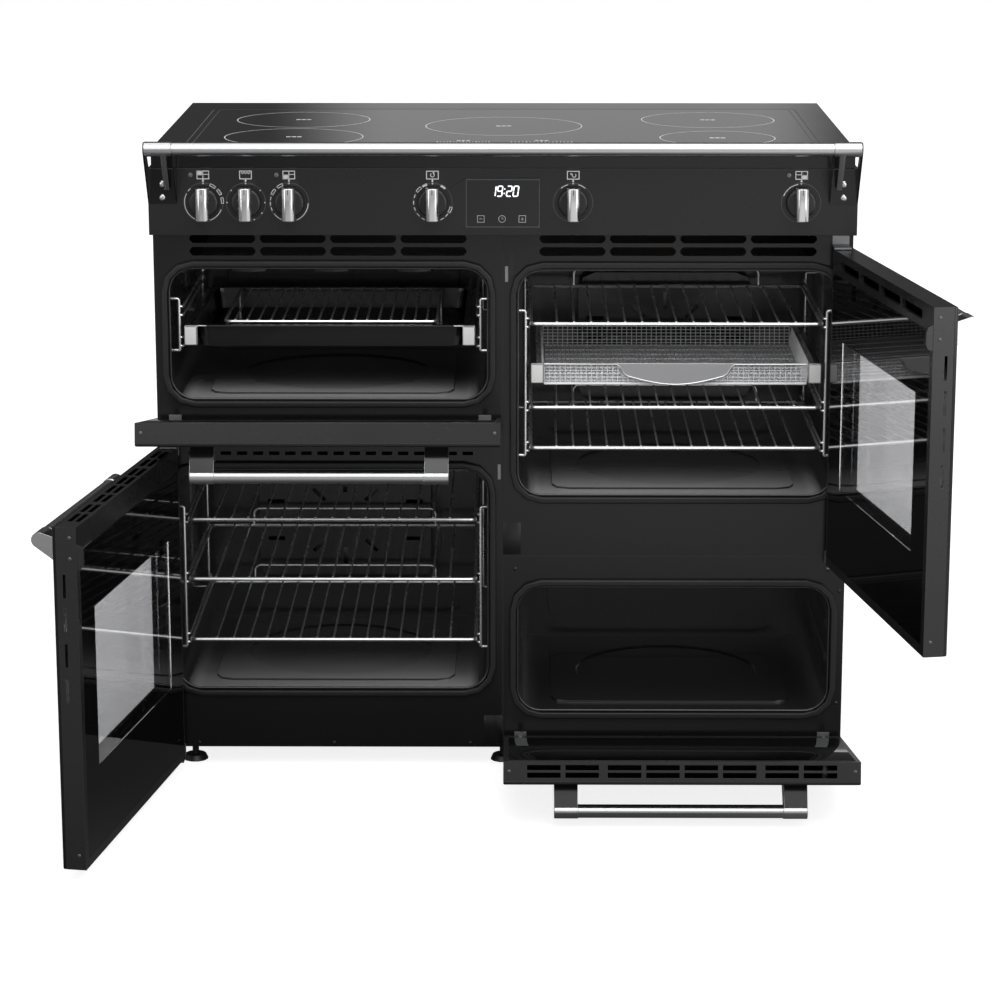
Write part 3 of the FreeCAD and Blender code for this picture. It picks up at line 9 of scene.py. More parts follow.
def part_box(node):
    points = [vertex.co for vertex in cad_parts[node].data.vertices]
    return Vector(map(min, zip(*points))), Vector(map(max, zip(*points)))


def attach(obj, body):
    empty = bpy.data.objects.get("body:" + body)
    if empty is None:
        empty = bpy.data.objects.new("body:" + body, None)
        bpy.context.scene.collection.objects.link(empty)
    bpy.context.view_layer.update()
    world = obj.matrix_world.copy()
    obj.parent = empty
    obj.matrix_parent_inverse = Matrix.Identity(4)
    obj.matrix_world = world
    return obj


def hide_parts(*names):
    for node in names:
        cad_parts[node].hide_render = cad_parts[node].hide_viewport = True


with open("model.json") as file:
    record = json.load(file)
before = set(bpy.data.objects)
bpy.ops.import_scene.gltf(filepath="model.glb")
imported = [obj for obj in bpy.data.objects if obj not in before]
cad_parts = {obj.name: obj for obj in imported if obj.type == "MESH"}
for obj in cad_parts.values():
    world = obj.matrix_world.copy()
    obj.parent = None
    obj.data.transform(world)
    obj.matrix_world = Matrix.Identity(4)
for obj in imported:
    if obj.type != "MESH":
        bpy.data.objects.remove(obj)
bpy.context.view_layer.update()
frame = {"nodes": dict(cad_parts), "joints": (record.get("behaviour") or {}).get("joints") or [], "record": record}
nodes = frame["nodes"]
print("frame loaded", len(nodes))

# Shared measures, in metres
skin = 0.00006
columns = {"left": -0.25, "right": 0.25}
ovens = ("top_left", "bottom_left", "top_right", "bottom_right")
doorJoints = {joint["child"]: joint for joint in frame["joints"] if joint["child"].startswith("door_")}


# Gives a node's sockets their plain values, or links the outputs that feed them
def feed(tree, node, values):
    for label, value in values.items():
        if isinstance(value, bpy.types.NodeSocket):
            tree.links.new(value, node.inputs[label])
        else:
            node.inputs[label].default_value = value
    return node


# A new node with its settings made first, because they decide its sockets
def addNode(tree, kind, values=None, **settings):
    node = tree.nodes.new(kind)
    for label, value in settings.items():
        setattr(node, label, value)
    return feed(tree, node, values or {})


# A node group's tree, the outputs of its start and its end; kinds are told without NodeSocket
def group(name, kind, inputs, outputs):
    tree = bpy.data.node_groups.new(name, kind)
    for label, socketKind, value in inputs:
        socket = tree.interface.new_socket(name=label, in_out="INPUT", socket_type="NodeSocket" + socketKind)
        if value is not None:
            socket.default_value = value
    for label, socketKind in outputs:
        tree.interface.new_socket(name=label, in_out="OUTPUT", socket_type="NodeSocket" + socketKind)
    return tree, tree.nodes.new("NodeGroupInput").outputs, tree.nodes.new("NodeGroupOutput")


# A node's range of values turned into another range
def ranged(tree, value, low, high, toLow=0.0, toHigh=1.0, **settings):
    values = {"Value": value, "From Min": low, "From Max": high, "To Min": toLow, "To Max": toHigh}
    return addNode(tree, "ShaderNodeMapRange", values, **settings).outputs["Result"]


# One mathematical step
def worked(tree, operation, *values, **settings):
    return addNode(tree, "ShaderNodeMath", dict(enumerate(values)), operation=operation,
                   **settings).outputs[0]


# A blend of two colours
def blended(tree, share, first, second, blend="MIX"):
    values = {"Factor": share, "A": first, "B": second}
    return addNode(tree, "ShaderNodeMix", values, data_type="RGBA", blend_type=blend).outputs["Result"]


# Fine bump and uneven gloss over a whole surface
def grainGroup():
    tree, given, end = group(
        "surfaceGrain", "ShaderNodeTree",
        (("Scale", "Float", 800.0), ("Bump", "Float", 0.1), ("Roughness", "Float", 0.3),
         ("Smudge", "Float", 0.05), ("Stretch", "Vector", (1.0, 1.0, 1.0))),
        (("Roughness", "Float"), ("Normal", "Vector"), ("Shade", "Float")),
    )
    place = addNode(tree, "ShaderNodeTexCoord").outputs["Object"]
    stretch = addNode(tree, "ShaderNodeMapping", {"Vector": place, "Scale": given["Stretch"]})
    fine = addNode(tree, "ShaderNodeTexNoise",
                   {"Vector": stretch.outputs["Vector"], "Scale": given["Scale"], "Detail": 3.0})
    bump = addNode(tree, "ShaderNodeBump",
                   {"Strength": given["Bump"], "Distance": 0.0004, "Height": fine.outputs["Fac"]})
    broad = addNode(tree, "ShaderNodeTexNoise", {"Vector": place, "Scale": 9.0, "Detail": 5.0})
    spread = worked(tree, "MULTIPLY_ADD", broad.outputs["Fac"], 2.0, -1.0)
    gloss = worked(tree, "MULTIPLY_ADD", spread, given["Smudge"], given["Roughness"], use_clamp=True)
    feed(tree, end, {"Roughness": gloss, "Normal": bump.outputs["Normal"], "Shade": fine.outputs["Fac"]})
    return tree


# Painted highlight: lightens the colour along edges, as if they caught the light
def edgeGroup():
    tree, given, end = group(
        "edgeWear", "ShaderNodeTree",
        (("Color", "Color", (0.1, 0.1, 0.1, 1.0)), ("Edge", "Color", (0.4, 0.4, 0.4, 1.0)),
         ("Width", "Float", 0.0008), ("Amount", "Float", 0.5)),
        (("Color", "Color"),),
    )
    softer = addNode(tree, "ShaderNodeBevel", {"Radius": given["Width"]}, samples=4)
    flat = addNode(tree, "ShaderNodeNewGeometry")
    dot = addNode(tree, "ShaderNodeVectorMath", {0: softer.outputs["Normal"], 1: flat.outputs["Normal"]},
                  operation="DOT_PRODUCT")
    share = worked(tree, "MULTIPLY", ranged(tree, dot.outputs["Value"], 0.98, 0.8), given["Amount"])
    feed(tree, end, {"Color": blended(tree, share, given["Color"], given["Edge"])})
    return tree


# Painted light: pale colour on faces that look up, strongest at an oven's front and fading into painted shade
# towards the back
def dustGroup():
    tree, given, end = group(
        "upwardPaintedLight", "ShaderNodeTree",
        (("Color", "Color", (0.1, 0.1, 0.1, 1.0)), ("PaintedLight", "Color", (0.2, 0.2, 0.2, 1.0)),
         ("Amount", "Float", 0.5), ("Reach", "Float", 0.3)),
        (("Color", "Color"),),
    )
    place = addNode(tree, "ShaderNodeTexCoord").outputs
    spot = addNode(tree, "ShaderNodeSeparateXYZ", {0: place["Object"]})
    facing = addNode(tree, "ShaderNodeSeparateXYZ", {0: place["Normal"]})
    fade = ranged(tree, spot.outputs["Y"], -0.02, given["Reach"], 1.0, 0.12, interpolation_type="SMOOTHSTEP")
    level = ranged(tree, facing.outputs["Z"], 0.8, 0.98)
    patches = addNode(tree, "ShaderNodeTexNoise", {"Vector": place["Object"], "Scale": 14.0, "Detail": 4.0})
    uneven = ranged(tree, patches.outputs["Fac"], 0.0, 1.0, 0.95, 1.03)
    share = worked(tree, "MULTIPLY", worked(tree, "MULTIPLY", level, uneven), fade)
    share = worked(tree, "MULTIPLY", share, given["Amount"], use_clamp=True)
    feed(tree, end, {"Color": blended(tree, share, given["Color"], given["PaintedLight"])})
    return tree


grain = grainGroup()
edges = edgeGroup()
paintedLight = dustGroup()


# A Principled material driven by the shared groups
def surface(name, look):
    material = bpy.data.materials.new(name)
    material.use_nodes = True
    tree = material.node_tree
    given = {label: look[label.lower()] for label in ("Scale", "Bump", "Roughness", "Smudge")}
    given["Stretch"] = look.get("stretch", (1.0, 1.0, 1.0))
    fine = addNode(tree, "ShaderNodeGroup", given, node_tree=grain).outputs
    shade = ranged(tree, fine["Shade"], 0.0, 1.0, 0.6, 1.4)
    colour = (*look["color"], 1.0)
    last = blended(tree, look.get("tint", 0.15), colour, shade, "MULTIPLY")
    # Painted light on upward faces, fading into painted shade towards the back of an oven
    if "paintedLight" in look:
        given = {"Color": last, "PaintedLight": (*look["paintedLight"], 1.0), "Amount": look["paintedLightAmount"],
                 "Reach": look["paintedLightReach"]}
        last = addNode(tree, "ShaderNodeGroup", given, node_tree=paintedLight).outputs["Color"]
    # Painted highlight along edges
    if "edge" in look:
        given = {"Color": last, "Edge": (*look["edge"], 1.0), "Width": look.get("edgeWidth", 0.0008),
                 "Amount": look["edgeAmount"]}
        last = addNode(tree, "ShaderNodeGroup", given, node_tree=edges).outputs["Color"]
    values = {"Base Color": last, "Roughness": fine["Roughness"], "Normal": fine["Normal"],
              "Metallic": look.get("metallic", 0.0), "Coat Weight": look.get("coat", 0.0),
              "Coat Roughness": 0.05}
    if "glow" in look:
        values.update({"Emission Color": colour, "Emission Strength": look["glow"]})
    if "transmission" in look:
        values.update({"Transmission Weight": look["transmission"], "IOR": 1.45})
    feed(tree, tree.nodes["Principled BSDF"], values)
    return material


# An edge colour in a look is a painted highlight along its edges
looks = {
    "satinBlack": {"color": (0.008, 0.008, 0.0083), "scale": 1400, "bump": 0.05, "roughness": 0.28,
                   "smudge": 0.05, "edge": (0.05, 0.05, 0.05), "edgeAmount": 0.5},
    "glossBlack": {"color": (0.004, 0.004, 0.0042), "scale": 900, "bump": 0.015, "roughness": 0.13,
                   "smudge": 0.04, "edge": (0.06, 0.06, 0.06), "edgeAmount": 0.6},
    "frameBlack": {"color": (0.006, 0.006, 0.0063), "scale": 1100, "bump": 0.04, "roughness": 0.24,
                   "smudge": 0.05, "edge": (0.05, 0.05, 0.05), "edgeAmount": 0.4},
    "trayBlack": {"color": (0.017, 0.017, 0.0175), "scale": 1000, "bump": 0.05, "roughness": 0.27,
                  "smudge": 0.06, "edge": (0.07, 0.07, 0.07), "edgeAmount": 0.6},
    "ovenEnamel": {"color": (0.02, 0.02, 0.0206), "scale": 420, "bump": 0.05, "roughness": 0.24,
                   "smudge": 0.06, "tint": 0.5, "coat": 0.3, "edge": (0.05, 0.05, 0.05),
                   "edgeAmount": 0.4, "edgeWidth": 0.002},
    "darkEnamel": {"color": (0.008, 0.008, 0.0083), "scale": 420, "bump": 0.05, "roughness": 0.26,
                   "smudge": 0.06, "tint": 0.5, "coat": 0.2, "edge": (0.04, 0.04, 0.04),
                   "edgeAmount": 0.4, "edgeWidth": 0.002},
    # Enamel with painted light on its upward faces, bright at an oven's front and darker towards the back
    "paintedLightEnamel": {"color": (0.018, 0.018, 0.0186), "scale": 420, "bump": 0.05, "roughness": 0.24,
                    "smudge": 0.06, "tint": 0.5, "coat": 0.2, "edge": (0.06, 0.06, 0.06),
                    "edgeAmount": 0.4, "edgeWidth": 0.002, "paintedLight": (0.42, 0.42, 0.42), "paintedLightAmount": 0.9,
                    "paintedLightReach": 0.2},
    "ovenLip": {"color": (0.03, 0.03, 0.031), "scale": 700, "bump": 0.03, "roughness": 0.2,
                "smudge": 0.05, "coat": 0.6},
    "blackGlass": {"color": (0.003, 0.003, 0.0033), "scale": 60, "bump": 0.002, "roughness": 0.03,
                   "smudge": 0.02, "edge": (0.12, 0.12, 0.12), "edgeAmount": 0.7, "edgeWidth": 0.0006},
    "displayBlack": {"color": (0.009, 0.009, 0.0093), "scale": 400, "bump": 0.01, "roughness": 0.16,
                     "smudge": 0.03, "edge": (0.08, 0.08, 0.08), "edgeAmount": 0.5},
    "clearGlass": {"color": (0.79, 0.79, 0.8), "scale": 60, "bump": 0.001, "roughness": 0.0,
                   "smudge": 0.0, "transmission": 1.0, "tint": 0.02},
    "chromePlate": {"color": (0.64, 0.64, 0.65), "scale": 300, "bump": 0.008, "roughness": 0.24,
                    "smudge": 0.03, "metallic": 1.0, "tint": 0.03},
    "knobChrome": {"color": (0.85, 0.85, 0.86), "scale": 260, "bump": 0.02, "roughness": 0.16,
                   "smudge": 0.03, "metallic": 1.0, "tint": 0.04},
    "wireChrome": {"color": (0.86, 0.86, 0.87), "scale": 1500, "bump": 0.02, "roughness": 0.27,
                   "smudge": 0.04, "metallic": 0.9, "tint": 0.05},
    "meshSteel": {"color": (0.9, 0.9, 0.91), "scale": 900, "bump": 0.05, "roughness": 0.38,
                  "smudge": 0.05, "metallic": 0.0, "tint": 0.1},
    "zincSheet": {"color": (0.3, 0.305, 0.31), "scale": 220, "bump": 0.05, "roughness": 0.42,
                  "smudge": 0.08, "metallic": 0.9, "tint": 0.3},
    "slideSteel": {"color": (0.25, 0.25, 0.26), "scale": 160, "bump": 0.06, "roughness": 0.3,
                   "smudge": 0.04, "metallic": 1.0, "stretch": (14.0, 1.0, 14.0), "tint": 0.25},
    "plateSteel": {"color": (0.42, 0.42, 0.43), "scale": 260, "bump": 0.04, "roughness": 0.34,
                   "smudge": 0.04, "metallic": 0.8, "stretch": (1.0, 14.0, 14.0), "tint": 0.15},
    "sealRubber": {"color": (0.006, 0.006, 0.006), "scale": 2200, "bump": 0.2, "roughness": 0.5,
                   "smudge": 0.05},
    "plastic": {"color": (0.01, 0.01, 0.01), "scale": 1800, "bump": 0.1, "roughness": 0.4, "smudge": 0.05},
    "element": {"color": (0.03, 0.029, 0.028), "scale": 700, "bump": 0.12, "roughness": 0.4,
                "smudge": 0.08, "metallic": 0.5, "tint": 0.4},
    "copper": {"color": (0.45, 0.2, 0.1), "scale": 900, "bump": 0.2, "roughness": 0.4, "smudge": 0.05,
               "metallic": 0.8},
    "lampGlass": {"color": (0.35, 0.35, 0.35), "scale": 260, "bump": 0.2, "roughness": 0.12,
                  "smudge": 0.03, "coat": 0.5},
    "lens": {"color": (0.12, 0.12, 0.12), "scale": 500, "bump": 0.05, "roughness": 0.25, "smudge": 0.03,
             "coat": 0.4},
    "capWhite": {"color": (0.72, 0.72, 0.71), "scale": 900, "bump": 0.04, "roughness": 0.38,
                 "smudge": 0.04},
    "print": {"color": (0.7, 0.7, 0.7), "scale": 2000, "bump": 0.02, "roughness": 0.5, "smudge": 0.04},
    "faintPrint": {"color": (0.1, 0.1, 0.1), "scale": 2000, "bump": 0.02, "roughness": 0.4, "smudge": 0.04},
    "faintLight": {"color": (0.32, 0.32, 0.33), "scale": 2000, "bump": 0.02, "roughness": 0.4,
                   "smudge": 0.04},
    "trayScrew": {"color": (0.12, 0.12, 0.12), "scale": 1200, "bump": 0.03, "roughness": 0.3,
                  "smudge": 0.04, "metallic": 0.6},
    "digits": {"color": (0.9, 0.92, 0.95), "scale": 900, "bump": 0.01, "roughness": 0.5, "smudge": 0.01,
               "glow": 0.9},
}
materials = {name: surface(name, look) for name, look in looks.items()}
print("materials made", len(materials))


# Smooth shading with creases kept at the sharp edges
def smooth(mesh, angle=38.0):
    mesh.shade_smooth()
    mesh.set_sharp_from_angle(angle=math.radians(angle))
    return mesh


# Turns mesh code's result into a mesh with its faces outward
def meshFrom(name, bm, angle=38.0):
    bmesh.ops.recalc_face_normals(bm, faces=bm.faces)
    mesh = bpy.data.meshes.new(name)
    bm.to_mesh(mesh)
    bm.free()
    return smooth(mesh, angle)


# Puts a mesh, or mesh code's result, on a body with a material; turn carries the pieces of a shut door to
# where it stands open
def piece(name, mesh, body, look, replaced=(), turn=None):
    if isinstance(mesh, bmesh.types.BMesh):
        mesh = meshFrom(name, mesh)
    if turn is not None:
        mesh.transform(turn)
    obj = bpy.data.objects.new(name, mesh)
    bpy.context.collection.objects.link(obj)
    mesh.materials.clear()
    mesh.materials.append(materials[look])
    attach(obj, body)
    if replaced:
        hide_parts(*replaced)
    return obj


# Rounds an object's sharp edges
def bevelled(obj, width, steps=1, angle=30.0):
    bevel = obj.modifiers.new("Bevel", "BEVEL")
    bevel.limit_method = "ANGLE"
    bevel.angle_limit = math.radians(angle)
    bevel.width = width
    bevel.segments = steps
    return bevel


manyCorners = 24    # more than this, and a flat face goes round slots or holes


# A copy of a CAD node with its coplanar facets merged and its edges rounded
def softened(node, look, width):
    mesh = nodes[node].data.copy()
    bm = bmesh.new()
    bm.from_mesh(mesh)
    bmesh.ops.remove_doubles(bm, verts=bm.verts, dist=1e-6)
    bmesh.ops.dissolve_limit(bm, angle_limit=math.radians(0.5), verts=bm.verts, edges=bm.edges)
    bmesh.ops.triangulate(bm, faces=[face for face in bm.faces if len(face.verts) > manyCorners])
    bm.to_mesh(mesh)
    bm.free()
    mesh.shade_smooth()
    obj = piece(node + "_soft", mesh, bodyOf[node], look, (node,))
    bevelled(obj, width, 2, 38.0).miter_outer = "MITER_ARC"
    obj.modifiers.new("WeightedNormal", "WEIGHTED_NORMAL").keep_sharp = True
    return obj


bodyOf = {node: body for body, held in frame["record"]["behaviour"]["bodies"].items() for node in held}


# Which way is inwards at a place between the left and the right edge of the ovens
def inwards(x):
    return 1 if x < columns["left"] or 0 < x < columns["right"] else -1


# The turn that carries a closed door to where it stands open at rest
def openTurn(body):
    joint = doorJoints[body]
    pivot = Vector(joint["pos_m"])
    spin = Matrix.Rotation(math.radians(-joint["range_deg"][0]), 4, Vector(joint["axis"]))
    return Matrix.Translation(pivot) @ spin @ Matrix.Translation(-pivot)


# Lowest and highest corner of a door's node once the door is shut
def closedBox(node):
    back = openTurn(bodyOf[node]).inverted()
    corners = [back @ vertex.co for vertex in nodes[node].data.vertices]
    low = Vector(min(c[i] for c in corners) for i in range(3))
    high = Vector(max(c[i] for c in corners) for i in range(3))
    return low, high


# Quads between neighbouring rings of corners
def bridge(bm, rings, closed=False):
    for one, other in list(zip(rings, rings[1:])) + ([(rings[-1], rings[0])] if closed else []):
        for i in range(len(one)):
            j = (i + 1) % len(one)
            bm.faces.new((one[i], one[j], other[j], other[i]))


# Points of a path whose corners are turned with one radius
def rounded(corners, bend, steps=6, closed=False):
    count = len(corners)
    inner = range(count) if closed else range(1, count - 1)
    path = [] if closed else [Vector(corners[0])]
    for i in inner:
        before, corner, after = Vector(corners[i - 1]), Vector(corners[i]), Vector(corners[(i + 1) % count])
        back, on = (before - corner).normalized(), (after - corner).normalized()
        half = back.angle(on) / 2
        centre = corner + (back + on).normalized() * (bend / math.sin(half))
        spoke = corner + back * (bend / math.tan(half)) - centre
        axis = back.cross(on).normalized()
        for step in range(steps + 1):
            path.append(centre + Matrix.Rotation(-(math.pi - 2 * half) * step / steps, 3, axis) @ spoke)
    if not closed:
        path.append(Vector(corners[-1]))
    return path


# A round rod along a path
def sweep(bm, path, radius, sides=12, closed=False, normal=None):
    count = len(path)
    runs = [(path[(i + 1) % count] - path[i]).normalized() for i in range(count if closed else count - 1)]
    tangents = []
    for i in range(count):
        before = runs[i - 1] if (i or closed) else runs[0]
        after = runs[i] if i < len(runs) else runs[-1]
        tangents.append((before + after).normalized())
    up = Vector(normal) if normal else tangents[0].orthogonal()
    rings = []
    for centre, tangent in zip(path, tangents):
        up = (up - tangent * up.dot(tangent)).normalized()
        side = tangent.cross(up)
        ring = []
        for i in range(sides):
            angle = 2 * math.pi * i / sides
            ring.append(bm.verts.new(centre + (up * math.cos(angle) + side * math.sin(angle)) * radius))
        rings.append(ring)
    bridge(bm, rings, closed)
    if not closed:
        bm.faces.new(rings[0])
        bm.faces.new(reversed(rings[-1]))


# A shape turned about an axis; the profile lists radius and distance along the axis
def turned(bm, profile, centre, axis, segments=48):
    axis = Vector(axis).normalized()
    side = axis.orthogonal().normalized()
    up = axis.cross(side)
    rings = []
    for radius, along in profile:
        middle = Vector(centre) + axis * along
        if radius == 0:
            rings.append([bm.verts.new(middle)])
            continue
        ring = []
        for i in range(segments):
            angle = 2 * math.pi * i / segments
            ring.append(bm.verts.new(middle + (side * math.cos(angle) + up * math.sin(angle)) * radius))
        rings.append(ring)
    for one, other in zip(rings, rings[1:]):
        for i in range(segments):
            j = (i + 1) % segments
            if len(one) == 1:
                bm.faces.new((one[0], other[j], other[i]))
            elif len(other) == 1:
                bm.faces.new((one[i], one[j], other[0]))
            else:
                bm.faces.new((one[i], one[j], other[j], other[i]))
    for ring in (rings[0], rings[-1]):
        if len(ring) > 1:
            bm.faces.new(ring)


# A flat outline of points with a thickness
def prism(bm, outline, depth):
    near = [bm.verts.new(spot) for spot in outline]
    far = [bm.verts.new(Vector(spot) + Vector(depth)) for spot in outline]
    bm.faces.new(near)
    bm.faces.new(reversed(far))
    for i in range(len(near)):
        j = (i + 1) % len(near)
        bm.faces.new((near[i], near[j], far[j], far[i]))


# A flat line of one width along a path, with a thickness
def stroke(bm, path, width, depth, closed=False):
    depth, count, rings = Vector(depth), len(path), []
    for i, spot in enumerate(path):
        ways = []
        if i or closed:
            ways.append((spot - path[i - 1]).normalized())
        if i < count - 1 or closed:
            ways.append((path[(i + 1) % count] - spot).normalized())
        along = sum(ways, Vector()).normalized()
        across = along.cross(depth).normalized() * (width / 2 / max(0.35, along.dot(ways[0])))
        corners = (spot + across, spot - across, spot - across + depth, spot + across + depth)
        rings.append([bm.verts.new(corner) for corner in corners])
    bridge(bm, rings, closed)
    if not closed:
        bm.faces.new(rings[0])
        bm.faces.new(reversed(rings[-1]))


# A box between two corners, with rounded edges
def slab(bm, low, high, bevel=0.0, steps=3):
    low, high = Vector(low), Vector(high)
    made = bmesh.ops.create_cube(bm, size=1.0)
    centre, size = (low + high) / 2, high - low
    for vertex in made["verts"]:
        vertex.co = Vector(vertex.co[i] * size[i] + centre[i] for i in range(3))
    if bevel:
        rims = list({edge for vertex in made["verts"] for edge in vertex.link_edges})
        bmesh.ops.bevel(bm, geom=rims, offset=bevel, segments=steps, affect="EDGES", profile=0.5)


# Lowest and highest corner of each separate solid of a CAD node, turned first if a turn is given
def looseBoxes(node, turn=None):
    bm = bmesh.new()
    bm.from_mesh(nodes[node].data)
    if turn is not None:
        bm.transform(turn)
    bmesh.ops.remove_doubles(bm, verts=bm.verts, dist=1e-6)
    seen, boxes = set(), []
    for first in bm.verts:
        if first in seen:
            continue
        stack, part = [first], []
        seen.add(first)
        while stack:
            vertex = stack.pop()
            part.append(vertex.co.copy())
            for edge in vertex.link_edges:
                other = edge.other_vert(vertex)
                if other not in seen:
                    seen.add(other)
                    stack.append(other)
        low = Vector(min(c[i] for c in part) for i in range(3))
        high = Vector(max(c[i] for c in part) for i in range(3))
        boxes.append((low, high))
    bm.free()
    return boxes


# The plain mesh that a node tree grows on a host mesh
def grown(name, mesh, tree, values):
    host = bpy.data.objects.new(name, mesh)
    bpy.context.collection.objects.link(host)
    grow = host.modifiers.new("grow", "NODES")
    grow.node_group = tree
    sockets = {item.name: item.identifier for item in tree.interface.items_tree if item.in_out == "INPUT"}
    for label, value in values.items():
        grow[sockets[label]] = value
    graph = bpy.context.evaluated_depsgraph_get()
    made = bpy.data.meshes.new_from_object(host.evaluated_get(graph))
    host.modifiers.remove(grow)
    bpy.data.objects.remove(host)
    return made


# The end of each node tree: real geometry with one material
def painted(tree, geometry, material, end):
    real = addNode(tree, "GeometryNodeRealizeInstances", {"Geometry": geometry})
    paint = addNode(tree, "GeometryNodeSetMaterial",
                    {"Geometry": real.outputs["Geometry"], "Material": material})
    feed(tree, end, {"Geometry": paint.outputs["Geometry"]})


# One node tree grows the shelves, the trivet and the basket's mesh: a frame with wires along it and across it
def wireTree():
    tree, given, end = group(
        "wireGrid", "GeometryNodeTree",
        (("Width", "Float", 0.42), ("Depth", "Float", 0.33), ("Margin", "Float", 0.04),
         ("Wires", "Int", 15), ("Cross Wires", "Int", 0),
         ("Wire Radius", "Float", 0.0016), ("Frame Radius", "Float", 0.003),
         ("Corner", "Float", 0.008), ("Sides", "Int", 8), ("Material", "Material", None)),
        (("Geometry", "Geometry"),),
    )

    def vector(*parts):
        values = {slot: part for slot, part in enumerate(parts) if part is not None}
        return addNode(tree, "ShaderNodeCombineXYZ", values).outputs[0]

    def swept(curve, radius):
        values = {"Resolution": given["Sides"], "Radius": radius}
        profile = addNode(tree, "GeometryNodeCurvePrimitiveCircle", values).outputs["Curve"]
        values = {"Curve": curve, "Profile Curve": profile, "Fill Caps": True}
        mesh = addNode(tree, "GeometryNodeCurveToMesh", values)
        return mesh.outputs["Mesh"]

    def row(length, span, count, across):
        half = worked(tree, "MULTIPLY", length, 0.5)
        ends = [vector(tip) if across else vector(None,
                                                  tip) for tip in (worked(tree, "MULTIPLY", half, -1.0),
                                                                   half)]
        line = addNode(tree, "GeometryNodeCurvePrimitiveLine", {"Start": ends[0], "End": ends[1]})
        first = worked(tree, "SUBTRACT", given["Margin"], worked(tree, "MULTIPLY", span, 0.5))
        gaps = worked(tree, "MAXIMUM", worked(tree, "SUBTRACT", count, 1.0), 1.0)
        room = worked(tree, "SUBTRACT", span, worked(tree, "MULTIPLY", given["Margin"], 2.0))
        pitch = worked(tree, "DIVIDE", room, gaps)
        points = addNode(tree, "GeometryNodeMeshLine", {
            "Count": count, "Start Location": vector(None, first, lift) if across else vector(first, None,
                                                                                              lift),
            "Offset": vector(None, pitch) if across else vector(pitch)})
        copies = addNode(tree, "GeometryNodeInstanceOnPoints",
                         {"Points": points.outputs["Mesh"], "Instance": line.outputs["Curve"]})
        real = addNode(tree, "GeometryNodeRealizeInstances", {"Geometry": copies.outputs["Instances"]})
        return swept(real.outputs["Geometry"], given["Wire Radius"])

    width, depth = given["Width"], given["Depth"]
    outline = addNode(tree, "GeometryNodeCurvePrimitiveQuadrilateral", {"Width": width, "Height": depth})
    bent = addNode(tree, "GeometryNodeFilletCurve",
                   {"Curve": outline.outputs["Curve"], "Count": 5, "Radius": given["Corner"]}, mode="POLY")
    lift = worked(tree, "MULTIPLY", given["Frame Radius"], 0.8)
    join = tree.nodes.new("GeometryNodeJoinGeometry")
    for part in (swept(bent.outputs["Curve"], given["Frame Radius"]),
                 row(depth, width, given["Wires"], False),
                 row(width, depth, given["Cross Wires"], True)):
        tree.links.new(part, join.inputs[0])
    shade = addNode(tree, "GeometryNodeSetShadeSmooth", {"Geometry": join.outputs[0]})
    painted(tree, shade.outputs["Geometry"], given["Material"], end)
    return tree


wireGrid = wireTree()


# A wire grid's mesh, carried to its place
def grid(values, look, place):
    values["Material"] = materials[look]
    mesh = grown("gridHost", bpy.data.meshes.new("gridHost"), wireGrid, values)
    mesh.transform(place)
    return mesh


# A level rack between two corners, its outer wires a margin away from its sides
def rack(low, high, level, look, margin):
    radius = look["frameRadius"]
    values = {
        "Width": high.x - low.x - 2 * radius, "Depth": high.y - low.y - 2 * radius, "Margin": margin - radius,
        "Wires": look["wires"], "Cross Wires": 0, "Wire Radius": look["wireRadius"], "Frame Radius": radius,
        "Corner": look["corner"],
    }
    return grid(values, "wireChrome", Matrix.Translation(((low.x + high.x) / 2, (low.y + high.y) / 2, level)))


# One mesh from several
def merged(meshes, name):
    bm = bmesh.new()
    for mesh in meshes:
        bm.from_mesh(mesh)
    result = bpy.data.meshes.new(name)
    bm.to_mesh(result)
    bm.free()
    return smooth(result)


shelfLook = {"wires": 15, "wireRadius": 0.0016, "frameRadius": 0.003, "margin": 0.0408, "corner": 0.008}
hoopLook = {"radius": 0.0022, "bend": 0.009}


# Wire shelf with a hoop at the back
def shelf(node):
    low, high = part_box(node)
    parts = looseBoxes(node)
    hoopLow, hoopHigh = max(parts, key=lambda part: part[1].z - part[0].z)
    radius = shelfLook["frameRadius"]
    level = low.z + radius
    base = rack(low, high, level, shelfLook, shelfLook["margin"])
    bm = bmesh.new()
    thin = hoopLook["radius"]
    y = high.y - radius
    left, right, top = hoopLow.x + thin, hoopHigh.x - thin, hoopHigh.z - thin
    corners = ((left, y, level), (left, y, top), (right, y, top), (right, y, level))
    sweep(bm, rounded(corners, hoopLook["bend"]), thin)
    hoop = meshFrom("hoop", bm)
    return merged((base, hoop), node)


for node in [n for n in nodes if n.startswith("shelf_") and n != "shelf_ladders"]:
    piece(node + "_wires", shelf(node), bodyOf[node], "wireChrome", (node,))

trivetLook = {"wires": 17, "wireRadius": 0.0016, "frameRadius": 0.0025, "corner": 0.01}
low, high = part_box("grill_trivet")
radius = trivetLook["frameRadius"]
pitch = (high.x - low.x) / (trivetLook["wires"] + 1)
level = high.z - radius * 1.8 - trivetLook["wireRadius"]
trivet = rack(low, high, level, trivetLook, pitch)
bm = bmesh.new()
for side in (low.x + radius, high.x - radius):
    for share in (0.12, 0.88):
        y = low.y + (high.y - low.y) * share
        sweep(bm, [Vector((side, y, level)), Vector((side, y, low.z))], radius)
piece("grill_trivet_wires", merged((trivet, meshFrom("legs", bm)), "trivet"), "grill_tray", "wireChrome",
      ("grill_trivet",))
print("wire racks grown")


